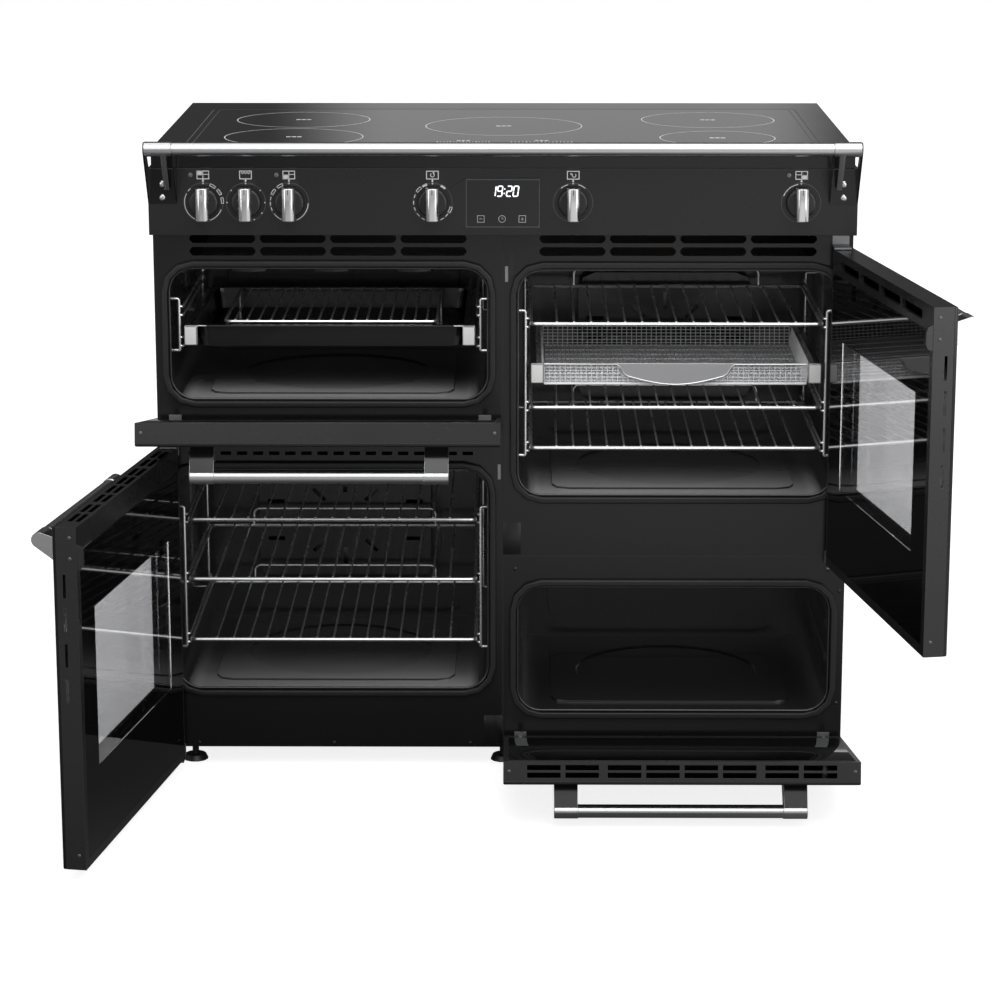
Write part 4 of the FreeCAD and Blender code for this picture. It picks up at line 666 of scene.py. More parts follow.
# Side racks
ladderLook = {"rungRadius": 0.0019, "postRadius": 0.0024, "bend": 0.003}
bm = bmesh.new()
parts = looseBoxes("shelf_ladders")
posts = [part for part in parts if part[1].z - part[0].z > 0.04]
rungs = [part for part in parts if part[1].y - part[0].y > 0.2]
for low, high in posts:
    inward = inwards((low.x + high.x) / 2)
    thick = high.y - low.y
    x = high.x - thick / 2 if inward > 0 else low.x + thick / 2
    wall = low.x if inward > 0 else high.x
    y = (low.y + high.y) / 2
    bottom, top = low.z + thick / 2, high.z - thick / 2
    path = rounded(((wall, y, bottom), (x, y, bottom), (x, y, top), (wall, y, top)), ladderLook["bend"])
    sweep(bm, path, ladderLook["postRadius"], 10)
for low, high in rungs:
    x, z = (low.x + high.x) / 2, (low.z + high.z) / 2
    inward = inwards(x)
    thick = high.x - low.x
    root = x - inward * thick
    y0, y1 = low.y + thick / 2, high.y - thick / 2
    path = rounded(((root, y0, z), (x, y0, z), (x, y1, z), (root, y1, z)), ladderLook["bend"], 4)
    sweep(bm, path, ladderLook["rungRadius"], 8)
piece("side_racks", bm, "cooker", "wireChrome",
      ("shelf_ladders",))
print("side racks bent")


# Handles and the rail
armLook = {"nose": 0.0105, "inset": 0.0007, "plate": 0.0005, "sheet": 0.0015, "steps": 16, "bevel": 0.0002,
           "barInset": 0.003, "lip": 0.0012, "step": 0.0004, "hair": 0.0001, "web": 0.002, "outerSheet": 1.6,
           "wedge": {"wide": 0.0075, "from": 0.009, "thin": 0.001, "deep": 0.009}}
handleLook = {"bar": 0.0095, "cap": 0.0105, "capLength": 0.034, "foot": (0.0015, 0.042), "arm": 0.033,
              "open": False}
railLook = {"bar": 0.0098, "cap": 0.0105, "capLength": 0.0395, "foot": (0.0335, 0.0825), "arm": 0.041,
            "open": True,
            "tail": 0.72}


# Drop shape of an arm: round at the bar, widening down to the face that carries it
def armOutline(x, face, y, z, foot, nose):
    points = []
    for drop, sign in ((foot[0], 1), (foot[1], -1)):
        reach = Vector((face - y, -drop))
        distance = reach.length
        away = math.atan2(reach.y, reach.x)
        points.append(away + sign * math.acos(min(1.0, nose / distance)))
    start, end = points[0], points[1] + 2 * math.pi
    outline = [Vector((x, face, z - foot[0]))]
    for step in range(armLook["steps"] + 1):
        angle = start + (end - start) * step / armLook["steps"]
        outline.append(Vector((x, y + nose * math.cos(angle), z + nose * math.sin(angle))))
    outline.append(Vector((x, face, z - foot[1])))
    return outline


# Chrome bar with end caps on two black arms with bright side plates
def barOnArms(name, low, high, look, body, node, turn=None):
    y, z = low.y + look["cap"], high.z - look["cap"]
    bar = bmesh.new()
    ends = (low.x + armLook["barInset"], high.x - armLook["barInset"])
    sweep(bar, [Vector((x, y, z)) for x in ends], look["bar"], 40)
    for edge, way in ((low.x, 1), (high.x, -1)):
        length, cap, lip, hair = look["capLength"], look["cap"], armLook["lip"], armLook["hair"]
        first = (armLook["sheet"] if look["open"] else armLook["plate"]) + hair
        profile = ((0, first), (cap - lip * 0.3, first), (cap, first + lip * 0.3), (cap, length - lip * 0.5),
                   (cap - lip * 0.5, length), (look["bar"] - armLook["step"], length), (0, length + hair))
        turned(bar, profile, (edge, y, z), (way, 0, 0), 40)
    piece(name + "_bar", meshFrom(name, bar), body, "chromePlate", (node,), turn)
    arms, plates = bmesh.new(), bmesh.new()
    plate, sheet, nose = armLook["plate"], armLook["sheet"], armLook["nose"] - armLook["inset"]
    for edge, way in ((low.x, 1), (high.x, -1)):
        if look["open"]:
            for inset, thick in ((0, sheet * armLook["outerSheet"]), (look["arm"] - sheet, sheet)):
                outline = armOutline(edge + way * inset, high.y, y, z, look["foot"], nose)
                prism(arms, outline, (way * thick, 0, 0))
            x0, x1 = sorted((edge + way * sheet, edge + way * look["arm"]))
            slab(arms, (x0, high.y - armLook["web"], z - look["foot"][1]), (x1, high.y, z - look["foot"][0]))
            tail = armOutline(0, high.y, y, z, look["foot"], armLook["nose"])[-2:]
            start, run = tail[0], tail[1] - tail[0]
            away = Vector((0, run.z, -run.y)).normalized()
            wedge, tip = armLook["wedge"], start + run * look["tail"]
            outline = (start, tip, tip - away * wedge["thin"], start - away * wedge["deep"])
            x0 = edge + way * (look["arm"] - wedge["from"])
            prism(plates, [spot + Vector((x0, 0, 0)) for spot in outline], (-way * wedge["wide"], 0, 0))
            continue
        prism(arms, armOutline(edge + way * plate, high.y, y, z, look["foot"], nose),
              (way * (look["arm"] - 2 * plate), 0, 0))
        for side in (edge, edge + way * (look["arm"] - plate)):
            outline = armOutline(side, high.y, y, z, look["foot"], armLook["nose"])
            prism(plates, outline, (way * plate, 0, 0))
    armPiece = piece(name + "_arms", meshFrom(name, arms), body, "glossBlack", (), turn)
    platePiece = piece(name + "_plates", meshFrom(name, plates), body, "chromePlate", (), turn)
    for obj in (armPiece, platePiece):
        bevelled(obj, armLook["bevel"], 2)


for oven in ovens:
    node = "door_handle_" + oven
    low, high = closedBox(node)
    barOnArms("handle_" + oven, low, high, handleLook, bodyOf[node], node,
              openTurn(bodyOf[node]))
low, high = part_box("hand_rail")
barOnArms("rail", low, high, railLook, "cooker", "hand_rail")
print("handles and rail made")


# Knobs
knobLook = {"radius": 0.0215, "skirt": 0.009, "gap": 0.001, "spindle": 0.003, "grip": (0.0188, 0.046),
            "crown": 0.0062, "notch": (0.0011, 0.0085), "lip": 0.0009, "hair": 0.0001, "sink": 0.001,
            "steps": (0.0008, 0.0018, 0.004), "rise": (0.0003, 0.0004), "notchGap": 0.0006}


# Black skirt with a crowned chrome grip and a dark pointer line
def knob(node):
    low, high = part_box(node)
    x, z = (low.x + high.x) / 2, (low.z + high.z) / 2
    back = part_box("control_fascia")[0].y - knobLook["gap"]
    radius = knobLook["radius"]
    body = bodyOf[node]
    lip, depth = knobLook["lip"], knobLook["skirt"]
    bm = bmesh.new()
    turned(bm, ((0, 0), (knobLook["spindle"], 0), (knobLook["spindle"], high.y - back), (0, high.y - back)),
           (x, back, z), (0, 1, 0), 16)
    one, two, three = (radius - step for step in knobLook["steps"])
    rise, middle = knobLook["rise"]
    profile = ((0, 0), (radius - lip, 0), (radius, lip), (one, depth - lip), (two, depth),
               (three, depth + rise), (0, depth + middle))
    turned(bm, profile, (x, back, z), (0, -1, 0), 64)
    piece(node + "_skirt", meshFrom(node, bm), body, "satinBlack", (node,))
    bm = bmesh.new()
    half = knobLook["grip"][0] / 2
    tall = min(knobLook["grip"][1], high.z - low.z) / 2
    slab(bm, (x - half, low.y, z - tall), (x + half, back - depth + knobLook["sink"], z + tall))
    fronts = [edge for edge in bm.edges if all(v.co.y < low.y + knobLook["hair"] for v in edge.verts)]
    uprights = [edge for edge in fronts if abs(edge.verts[0].co.x - edge.verts[1].co.x) < 1e-6]
    bmesh.ops.bevel(bm, geom=uprights, offset=knobLook["crown"], segments=7, affect="EDGES", profile=0.5)
    ends = [edge for edge in bm.edges if all(abs(abs(v.co.z - z) - tall) < 1e-5 for v in edge.verts)]
    bmesh.ops.bevel(bm, geom=ends, offset=lip, segments=3, affect="EDGES", profile=0.5)
    piece(node + "_grip", meshFrom(node, bm, 50), body, "knobChrome")
    bm = bmesh.new()
    wide, long = knobLook["notch"]
    slab(bm, (x - wide / 2, low.y - skin, z + tall - long),
         (x + wide / 2, low.y + knobLook["sink"], z + tall - knobLook["notchGap"]))
    piece(node + "_line", meshFrom(node, bm), body, "satinBlack")


knobNodes = ["knob_" + str(number) for number in range(1, 7)]
for node in knobNodes:
    knob(node)
print("knobs turned")


# Printed marks, all as thin ink on the surface they belong to
ink = 0.00006
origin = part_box("front_frame_left")[0].y    # front face of the oven frames
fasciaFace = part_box("control_fascia")[0].y
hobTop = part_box("hob_glass")[1].z


# A printed line, its width in millimetres
def inkLine(bm, path, width, depth, closed=False):
    stroke(bm, path, width / 1000, depth, closed)


# Places on the printed faces, told in millimetres
def onFascia(x, z):
    return Vector((x / 1000, fasciaFace, z / 1000))


def onHob(x, y):
    return Vector((x / 1000, origin + y / 1000, hobTop))


# A point on a dial, its degrees counted clockwise from the top
def clockPoint(place, x, y, radius, degrees):
    turn = math.radians(degrees)
    return place(x + radius * math.sin(turn), y + radius * math.cos(turn))


def clockArc(place, x, y, radius, start, end, step=6):
    count = max(2, int(abs(end - start) / step) + 1)
    return [clockPoint(place, x, y, radius, start + (end - start) * i / (count - 1)) for i in range(count)]


def boxLine(place, x, y, wide, high):
    return [place(x + i * wide / 2, y + j * high / 2) for i, j in ((-1, -1), (1, -1), (1, 1), (-1, 1))]


dialLook = {"radius": 26.6, "line": 0.9, "icon": (16.5, 11.0), "iconLine": 1.1, "iconRise": 39.0,
            "ink": (0, -ink, 0)}
dials = {
    1: {"icon": "grid", "cell": (0, 1), "arcs": ((-152, -62), (112, 160)), "boxes": (30, 57, 84),
        "dashes": (-48,)},
    2: {"icon": "grill", "dots": (50, 90, 124, 155, -90, -50)},
    3: {"icon": "grid", "cell": (0, 0), "arcs": ((92, 158), (-155, -126)), "boxes": (-28, -56),
        "dashes": (-78, -94, -110)},
    4: {"icon": "fan", "boxes": (-46, 112), "patches": (-24, 34),
        "dashes": (-70, -90, -110, -130, -150, 150, 132)},
    5: {"icon": "degree", "arcs": ((-40, -16), (16, 40))},
    6: {"icon": "grid", "cell": (1, 0), "arcs": ((-68, -10),)},
}


# Small symbol above a dial: which oven, grill, fan or temperature
def icon(bm, kind, x, z, cell=None):
    wide, high = dialLook["icon"]
    line, depth = dialLook["iconLine"], dialLook["ink"]
    inkLine(bm, boxLine(onFascia, x, z, wide, high), line, depth, True)
    if kind == "grid":
        inkLine(bm, [onFascia(x, z - high / 2), onFascia(x, z + high / 2)], line, depth)
        for way in (-1, 1):
            z0 = z if (way > 0) == bool(cell[0]) else z + 0.8
            inkLine(bm, [onFascia(x + way * wide / 2, z0), onFascia(x, z0)], line * 0.8, depth)
        middle = (x + (cell[0] - 0.5) * wide / 2, z + (cell[1] - 0.5) * high / 2)
        prism(bm, boxLine(onFascia, *middle, wide / 2, high / 2), depth)
    elif kind == "grill":
        tips = [onFascia(x + (i - 3) * 2.1, z + (3.9 if i % 2 == 0 else 1.7)) for i in range(7)]
        inkLine(bm, tips, 0.8, depth)
    elif kind == "fan":
        inkLine(bm, clockArc(onFascia, x, z, 2.7, 40, 330, 25), 0.9, depth)
        prism(bm, [onFascia(x + a, z + b) for a, b in ((0.2, 4.2), (3.4, 3.4), (1.2, 1.0))], depth)
    else:
        inkLine(bm, clockArc(onFascia, x - 2.8, z + 1.8, 1.1, 0, 330, 40), 0.6, depth, True)
        inkLine(bm, clockArc(onFascia, x + 1.2, z - 0.2, 2.7, 45, 315, 30), 0.9, depth)
    pointer = ((-0.5, 0.4), (0.5, 0.4), (1.4, 3.6), (0, 4.4), (-1.4, 3.6))
    prism(bm, [onFascia(x + a, z - high / 2 - b) for a, b in pointer], depth)


bm, faint = bmesh.new(), bmesh.new()
for number, dial in dials.items():
    low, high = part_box("knob_" + str(number))
    x, z = 500 * (low.x + high.x), 500 * (low.z + high.z)
    radius, line, depth = dialLook["radius"], dialLook["line"], dialLook["ink"]
    icon(bm, dial["icon"], x, z + dialLook["iconRise"], dial.get("cell"))
    prism(bm, [clockPoint(onFascia, x, z, r, a) for r, a in ((28.2, -3.4), (28.2, 3.4), (25.6, 0))], depth)
    for start, end in dial.get("arcs", ()):
        inkLine(bm, clockArc(onFascia, x, z, radius, start, end), line, depth)
    for degrees in dial.get("dots", ()):
        middle = clockPoint(onFascia, x, z, radius, degrees)
        prism(bm, clockArc(onFascia, middle.x * 1000, middle.z * 1000, 0.9, 0, 315, 45), depth)
    for degrees in dial.get("dashes", ()):
        inkLine(bm, clockArc(onFascia, x, z, radius, degrees - 5.5, degrees + 5.5, 4), line * 1.1, depth)
    for degrees in dial.get("boxes", ()):
        rim = clockArc(onFascia, x, z, radius + 1.9, degrees - 8.5, degrees + 8.5, 5)
        rim += clockArc(onFascia, x, z, radius - 1.3, degrees + 8.5, degrees - 8.5, 5)
        inkLine(bm, rim, 0.8, depth, True)
    for degrees in dial.get("patches", ()):
        inkLine(bm, clockArc(onFascia, x, z, radius + 0.3, degrees - 8, degrees + 8, 4), 3.2, depth)
    inkLine(faint, clockArc(onFascia, x, z, radius + 1.2, 0, 354), 0.5, depth, True)
piece("dial_marks", bm, "cooker", "print")
piece("dial_rings", faint, "cooker", "faintPrint")

# Clock: four leaning digits, a colon and three touch marks
clockLook = {"text": "19:20", "height": 14.2, "width": 6.6, "pitch": 9.3, "line": 1.75, "lean": 0.13,
             "left": -17.6, "foot": 858.2, "marks": (-31.0, -1.0, 27.5), "markLevel": 826.0}
segments = {
    "a": ((0, 2), (1, 2)), "b": ((1, 2), (1, 1)), "c": ((1, 1), (1, 0)), "d": ((0, 0), (1, 0)),
    "e": ((0, 1), (0, 0)), "f": ((0, 2), (0, 1)), "g": ((0, 1), (1, 1)),
}
digitParts = {"1": "bc", "9": "abcdfg", "2": "abged", "0": "abcdef"}
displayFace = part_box("display_window")[0].y


def onDisplay(x, z):
    return Vector((x / 1000, displayFace, z / 1000))


bm = bmesh.new()
x = clockLook["left"]
tall, wide, lean = clockLook["height"], clockLook["width"], clockLook["lean"]
for sign in clockLook["text"]:
    def corner(i, j):
        z = j * tall / 2
        return onDisplay(x + i * wide + z * lean, clockLook["foot"] + z)
    if sign == ":":
        for level in (0.28, 0.72):
            z = level * tall
            middle = (x + z * lean + 0.4, clockLook["foot"] + z)
            prism(bm, boxLine(onDisplay, *middle, 1.7, 1.9), dialLook["ink"])
        x += 3.9
        continue
    for part in digitParts[sign]:
        (i0, j0), (i1, j1) = segments[part]
        first, last = corner(i0, j0), corner(i1, j1)
        trim = (last - first).normalized() * 0.0004
        inkLine(bm, [first + trim, last - trim], clockLook["line"], dialLook["ink"])
    x += clockLook["pitch"]
piece("clock_digits", bm, "cooker", "digits")
bm = bmesh.new()
minus, clock, plus = clockLook["marks"]
level = clockLook["markLevel"]
for x in (minus, plus):
    inkLine(bm, boxLine(onDisplay, x, level, 9.4, 9.4), 0.9, dialLook["ink"], True)
    inkLine(bm, [onDisplay(x - 2.2, level), onDisplay(x + 2.2, level)], 0.9, dialLook["ink"])
inkLine(bm, [onDisplay(plus, level - 2.2), onDisplay(plus, level + 2.2)], 0.9, dialLook["ink"])
inkLine(bm, clockArc(onDisplay, clock, level, 4.8, 0, 345, 15), 0.9, dialLook["ink"], True)
hands = [onDisplay(clock, level + 2.8), onDisplay(clock, level), onDisplay(clock + 2.2, level)]
inkLine(bm, hands, 0.8, dialLook["ink"])
piece("touch_marks", bm, "cooker", "faintLight")
bm = bmesh.new()
inkLine(bm, boxLine(onDisplay, 0, 848, 103, 67), 0.7, dialLook["ink"], True)
piece("display_edge", bm, "cooker", "faintPrint")

# Indicator lenses beside three dials
lensLook = {"radius": 0.0031, "rise": 0.0007}
bm = bmesh.new()
for low, high in looseBoxes("display_window"):
    if high.x - low.x < 0.01:
        centre = ((low.x + high.x) / 2, low.y, (low.z + high.z) / 2)
        r, rise = lensLook["radius"], lensLook["rise"]
        turned(bm, ((r, 0), (r * 0.94, rise * 0.5), (r * 0.7, rise * 0.85), (0, rise)), centre, (0, -1, 0),
               24)
piece("indicator_lenses", bm, "cooker", "lens")

# Hob prints: zone rings with a bar in the middle, slider scales and the line round the glass
hobLook = {"line": 1.6, "bar": (24.0, 9.0), "ink": (0, 0, ink), "border": (442.0, -12.0, 447.0), "scale": 1.4}
zones = ((-303, 311, 100), (-303, 95, 100), (0, 230, 116), (308, 311, 100), (309, 85, 83))
bm, faint = bmesh.new(), bmesh.new()
for x, y, radius in zones:
    inkLine(bm, clockArc(onHob, x, y, radius, 0, 356, 4), hobLook["line"], hobLook["ink"], True)
    wide, deep = hobLook["bar"]
    for i in range(3):
        middle = x + (i - 1) * wide / 3
        prism(bm, boxLine(onHob, middle, y, wide / 3 - 1.6, deep), hobLook["ink"])
for left, right in ((-94, -20), (12, 98)):
    count = 17
    for i in range(count):
        x = left + (right - left) * i / (count - 1)
        inkLine(bm, [onHob(x, 32), onHob(x, 37 + 4 * (i % 4 == 0))], 1.5, hobLook["ink"])
    for i in range(3):
        prism(bm, boxLine(onHob, (left + right) / 2 + (i - 1) * 7, 52, 5, 7), hobLook["ink"])
half, y0, y1 = hobLook["border"]
corners = [onHob(-half, y0), onHob(half, y0), onHob(half, y1), onHob(-half, y1)]
inkLine(faint, rounded(corners, 0.012, 5, True), hobLook["scale"], hobLook["ink"], True)
piece("hob_marks", bm, "cooker", "print")
piece("hob_line", faint, "cooker", "faintPrint")
print("marks printed")


# Side-hung doors: black printed glass round a clear window, and the outer pane behind the panel's window
glassLook = {"lap": 0.012, "gap": 0.00004, "bevel": 0.0006}


# A flat frame between two upright rectangles
def ringSlab(bm, outer, inner, y0, y1):
    rings = []
    for x0, x1, z0, z1 in (outer, inner):
        for y in (y0, y1):
            rings.append([bm.verts.new((x, y, z)) for x, z in ((x0, z0), (x1, z0), (x1, z1), (x0, z1))])
    outFront, outBack, inFront, inBack = rings
    bridge(bm, (outFront, inFront, inBack, outBack), True)


for oven in ("bottom_left", "top_right"):
    node = "door_glass_" + oven
    body = bodyOf[node]
    turn = openTurn(body)
    pane, glass = sorted(looseBoxes(node, turn.inverted()), key=lambda box: box[1].x - box[0].x)
    lap, gap = glassLook["lap"], glassLook["gap"]
    window = (pane[0].x + lap, pane[1].x - lap, pane[0].z + lap, pane[1].z - lap)
    bm = bmesh.new()
    ringSlab(bm, (glass[0].x, glass[1].x, glass[0].z, glass[1].z), window, glass[0].y, glass[1].y)
    border = piece("glass_border_" + oven, meshFrom(node, bm), body, "blackGlass", (node,),
                   turn)
    bevelled(border, glassLook["bevel"])
    bm = bmesh.new()
    slab(bm, (window[0] + gap, glass[0].y, window[2] + gap), (window[1] - gap, glass[1].y, window[3] - gap))
    slab(bm, pane[0], pane[1])
    piece("glass_window_" + oven, meshFrom(node, bm), body, "clearGlass", (), turn)
print("door glass cut")

# Black glass skins over the inner faces of the drop-down doors
skinLook = {"margin": 0.007, "foot": 0.036, "thick": 0.0008, "bevel": 0.0003}
for oven in ("top_left", "bottom_right"):
    node = "door_frame_" + oven
    low, high = closedBox(node)
    margin = skinLook["margin"]
    bm = bmesh.new()
    slab(bm, (low.x + margin, high.y - 0.0002, low.z + skinLook["foot"]),
         (high.x - margin, high.y + skinLook["thick"], high.z - margin), skinLook["bevel"], 2)
    piece("door_skin_" + oven, meshFrom(node, bm), bodyOf[node], "blackGlass", (),
          openTurn(bodyOf[node]))


# Lips of the oven mouths and their seals
lipLook = {"radius": 0.0016, "corner": 0.036, "steps": 10}
ovenMouths = {
    "top_left": (-0.48, -0.02, 0.556, 0.75), "bottom_left": (-0.48, -0.02, 0.121, 0.455),
    "top_right": (0.02, 0.48, 0.414, 0.748), "bottom_right": (0.02, 0.48, 0.087, 0.279),
}
bm = bmesh.new()
for x0, x1, z0, z1 in ovenMouths.values():
    r = lipLook["radius"]
    y = origin - r * 0.4
    ring = rounded([(x0 + r, y, z0 + r), (x1 - r, y, z0 + r), (x1 - r, y, z1 - r), (x0 + r, y, z1 - r)],
                   lipLook["corner"] - r, lipLook["steps"], True)
    sweep(bm, ring, r, 10, True, (0, 1, 0))
piece("mouth_lips", bm, "cooker", "ovenLip")

# Nodes that keep their CAD shape with softened edges: look and edge radius of each
softWays = {
    "side_panels": ("satinBlack", 0.0006), "front_frame_left": ("frameBlack", 0.0003),
    "front_frame_top_right": ("frameBlack", 0.0003), "front_frame_bottom_right": ("frameBlack", 0.0003),
    "door_seals": ("sealRubber", 0.003), "control_fascia": ("satinBlack", 0.0008),
    "display_window": ("displayBlack", 0.0002), "hob_surround": ("glossBlack", 0.0012),
    "hob_glass": ("blackGlass", 0.0008), "fan_covers": ("darkEnamel", 0.0003),
    "grill_pan": ("darkEnamel", 0.0006), "levelling_feet": ("plastic", 0.0004),
    "oven_lamps": ("lampGlass", 0.0015), "mains_inlet": ("plastic", 0.0008),
    "runner_channels": ("slideSteel", 0.0002), "pan_slides": ("slideSteel", 0.0002),
    "basket_slides": ("slideSteel", 0.0002), "heating_elements": ("element", 0.0008),
    "back_panel": ("zincSheet", 0.0004), "door_hinges": ("zincSheet", 0.0003),
}
# Three liners take the enamel with painted light on their floors
for oven in ovens:
    softWays["oven_liner_" + oven] = ("ovenEnamel" if oven == "bottom_right" else "paintedLightEnamel", 0.0008)
    softWays["door_panel_" + oven] = ("glossBlack", 0.0006)
    softWays["door_frame_" + oven] = ("trayBlack", 0.0006)
soft = {node: softened(node, *values) for node, values in softWays.items()}

# Hidden nodes that stay as they are, with a look of their own
carried = {
    "chassis": "zincSheet", "control_electronics": "plastic", "induction_coils": "copper",
    "fan_motors": "zincSheet",
    "fan_impeller_bottom_left": "slideSteel", "fan_impeller_top_right": "slideSteel",
}
for node, look in carried.items():
    nodes[node].data.materials.clear()
    nodes[node].data.materials.append(materials[look])
print("softened", len(soft))

# White caps on the front ends of the sliding runners
capLook = {"wide": 0.018, "deep": 0.0104, "grow": 0.00015, "bevel": 0.0018}
for node, body in (("basket_slides", "basket"), ("pan_slides", "grill_tray")):
    low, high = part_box(node)
    grow = capLook["grow"]
    bm = bmesh.new()
    for x0, x1 in ((low.x, low.x + capLook["wide"]), (high.x - capLook["wide"], high.x)):
        slab(bm, (x0 - grow, low.y - grow, low.z - grow), (x1 + grow, low.y + capLook["deep"], high.z + grow),
             capLook["bevel"], 4)
    piece(node + "_caps", meshFrom(node, bm, 60), body, "capWhite")

# Bright rim wire along the grill pan's front
low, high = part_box("grill_pan")
rimLook = {"radius": 0.0009, "inset": 0.004}
bm = bmesh.new()
spots = [Vector((x, low.y + rimLook["radius"] + 0.0002, high.z - rimLook["radius"]))
         for x in (low.x + rimLook["inset"], high.x - rimLook["inset"])]
sweep(bm, spots, rimLook["radius"], 10)
piece("pan_rim", bm, "grill_tray", "wireChrome")

# Air-fry basket: woven walls, ribbed floor, rim wire and the curved grip plate
basketLook = {
    "rimRadius": 0.0016, "wire": 0.00055, "rib": 0.0014, "lean": 0.004, "inset": 0.0085, "corner": 0.018,
    "rearHoles": (50, 6), "sideHoles": (46, 6), "ribs": 62, "crossRibs": 9, "floorLift": 0.0015,
    "front": 0.0045,
    "rimFront": 0.003, "ribMargin": 0.003, "floorCorner": 0.004, "floorThick": 0.0006,
    "band": {"inner": 0.012, "outer": 0.0185, "half": 0.0004},
    "plate": {"half": 0.0855, "shoulder": 0.0705, "drop": 0.017, "sag": 0.0295, "thick": 0.0012,
              "edge": 0.0011,
              "top": 0.0008, "lineInset": 0.012, "lineLift": 0.0004},
}


# A woven panel from one corner along one way and up another
def wovenWall(corner, along, up, holes):
    wide, tall = along.length, up.length
    values = {
        "Width": wide, "Depth": tall, "Margin": 0.0, "Wires": holes[0] + 1, "Cross Wires": holes[1] + 1,
        "Wire Radius": basketLook["wire"], "Frame Radius": basketLook["wire"], "Corner": 0.0, "Sides": 5,
    }
    x, y = along.normalized(), up.normalized()
    z = x.cross(y)
    place = Matrix((x, y, z)).transposed().to_4x4()
    place.translation = corner + along / 2 + up / 2
    return grid(values, "meshSteel", place)


low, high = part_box("air_fry_basket")
rimZ, floorZ = high.z - basketLook["rimRadius"], low.z + basketLook["floorLift"]
inset, lean = basketLook["inset"], basketLook["lean"]
x0, x1, y0, y1 = low.x + inset, high.x - inset, low.y + basketLook["front"], high.y - inset
fx0, fx1, fy0, fy1 = x0 + lean, x1 - lean, y0 + lean, y1 - lean
walls = []
for a, b, c in (
    ((fx0, fy1), (fx1, fy1), (fx0, y1)), ((fx1, fy0), (fx0, fy0), (fx1, y0)),
    ((fx1, fy1), (fx1, fy0), (x1, fy1)), ((fx0, fy0), (fx0, fy1), (x0, fy0)),
):
    base = Vector((*a, floorZ))
    along = Vector((*b, floorZ)) - base
    up = Vector((*c, rimZ)) - base
    holes = basketLook["rearHoles"] if abs(along.x) > abs(along.y) else basketLook["sideHoles"]
    walls.append(wovenWall(base, along, up, holes))
values = {
    "Width": fx1 - fx0, "Depth": fy1 - fy0, "Margin": basketLook["ribMargin"], "Wires": basketLook["ribs"],
    "Cross Wires": basketLook["crossRibs"], "Wire Radius": basketLook["rib"],
    "Frame Radius": basketLook["rib"],
    "Corner": basketLook["floorCorner"], "Sides": 6,
}
walls.append(grid(values, "meshSteel", Matrix.Translation(((fx0 + fx1) / 2, (fy0 + fy1) / 2, floorZ))))
bm = bmesh.new()
slab(bm, (fx0, fy0, low.z), (fx1, fy1, low.z + basketLook["floorThick"]))
walls.append(meshFrom("basketFloor", bm))
piece("basket_weave", merged(walls, "basket_weave"), "basket", "meshSteel",
      ("air_fry_basket",))


# A level path round the basket at the rim
def basketRing(x0, x1, y0, y1, bend, steps):
    return rounded([(x0, y0, rimZ), (x1, y0, rimZ), (x1, y1, rimZ), (x0, y1, rimZ)], bend, steps, True)


bm = bmesh.new()
r = basketLook["rimRadius"]
outside = (low.x + r, high.x - r, low.y + basketLook["rimFront"], high.y - r)
sweep(bm, basketRing(*outside, basketLook["corner"], 6), r, 10, True)
bandLook = basketLook["band"]
paths = (basketRing(x0, x1, y0, y1, bandLook["inner"], 5), basketRing(*outside, bandLook["outer"], 5))
inner, outer = [[[bm.verts.new(spot + Vector((0, 0, lift))) for spot in path]
                 for lift in (bandLook["half"], -bandLook["half"])] for path in paths]
for i in range(len(inner[0])):
    j = (i + 1) % len(inner[0])
    bm.faces.new((inner[0][i], inner[0][j], outer[0][j], outer[0][i]))
    bm.faces.new((inner[1][j], inner[1][i], outer[1][i], outer[1][j]))
    bm.faces.new((inner[0][j], inner[0][i], inner[1][i], inner[1][j]))
    bm.faces.new((outer[0][i], outer[0][j], outer[1][j], outer[1][i]))
piece("basket_rim", bm, "basket", "wireChrome")

plateLook = basketLook["plate"]
middle, front = (low.x + high.x) / 2, low.y
lower = []
for i in range(33):
    share = -1 + i / 16
    x = share * plateLook["half"]
    shoulder = plateLook["shoulder"] / plateLook["half"]
    if abs(share) > shoulder:
        t = (abs(share) - shoulder) / (1 - shoulder)
        drop = plateLook["drop"] * (0.5 + 0.5 * math.cos(math.pi * t))
    else:
        deeper = plateLook["sag"] - plateLook["drop"]
        drop = plateLook["drop"] + deeper * math.cos(math.pi / 2 * abs(share) / shoulder)
    lower.append(Vector((middle + x, front + plateLook["thick"], rimZ - drop)))
bm = bmesh.new()
upper = [Vector((spot.x, lower[0].y, rimZ + plateLook["top"])) for spot in (lower[0], lower[-1])]
prism(bm, [upper[0]] + lower + [upper[1]], (0, plateLook["thick"], 0))
piece("basket_plate", bm, "basket", "plateSteel")
bm = bmesh.new()
first, last = [Vector((x, lower[0].y, rimZ + plateLook["lineLift"]))
               for x in (low.x + plateLook["lineInset"], high.x - plateLook["lineInset"])]
sweep(bm, [first] + lower + [last], plateLook["edge"], 8, False, (0, 1, 0))
piece("basket_plate_edge", bm, "basket", "chromePlate")
print("basket woven")


# A screw's domed head with a cross recess, its radius one
def headMesh():
    bm = bmesh.new()
    count, rings = 32, []
    for radius, level, star in ((1.0, 0.0, 0), (1.0, 0.18, 0), (0.86, 0.36, 0), (0.62, 0.47, 0),
                                (0.4, 0.5, 1),
                                (0.34, 0.12, 1)):
        ring = []
        for i in range(count):
            angle = 2 * math.pi * i / count
            reach = radius * (1 - 0.62 * star * (0.5 - 0.5 * math.cos(4 * angle)) ** 0.5)
            ring.append(bm.verts.new((reach * math.cos(angle), reach * math.sin(angle), level)))
        rings.append(ring)
    bm.faces.new(rings[0])
    bm.faces.new(rings[-1])
    bridge(bm, rings)
    return meshFrom("head", bm, 30)


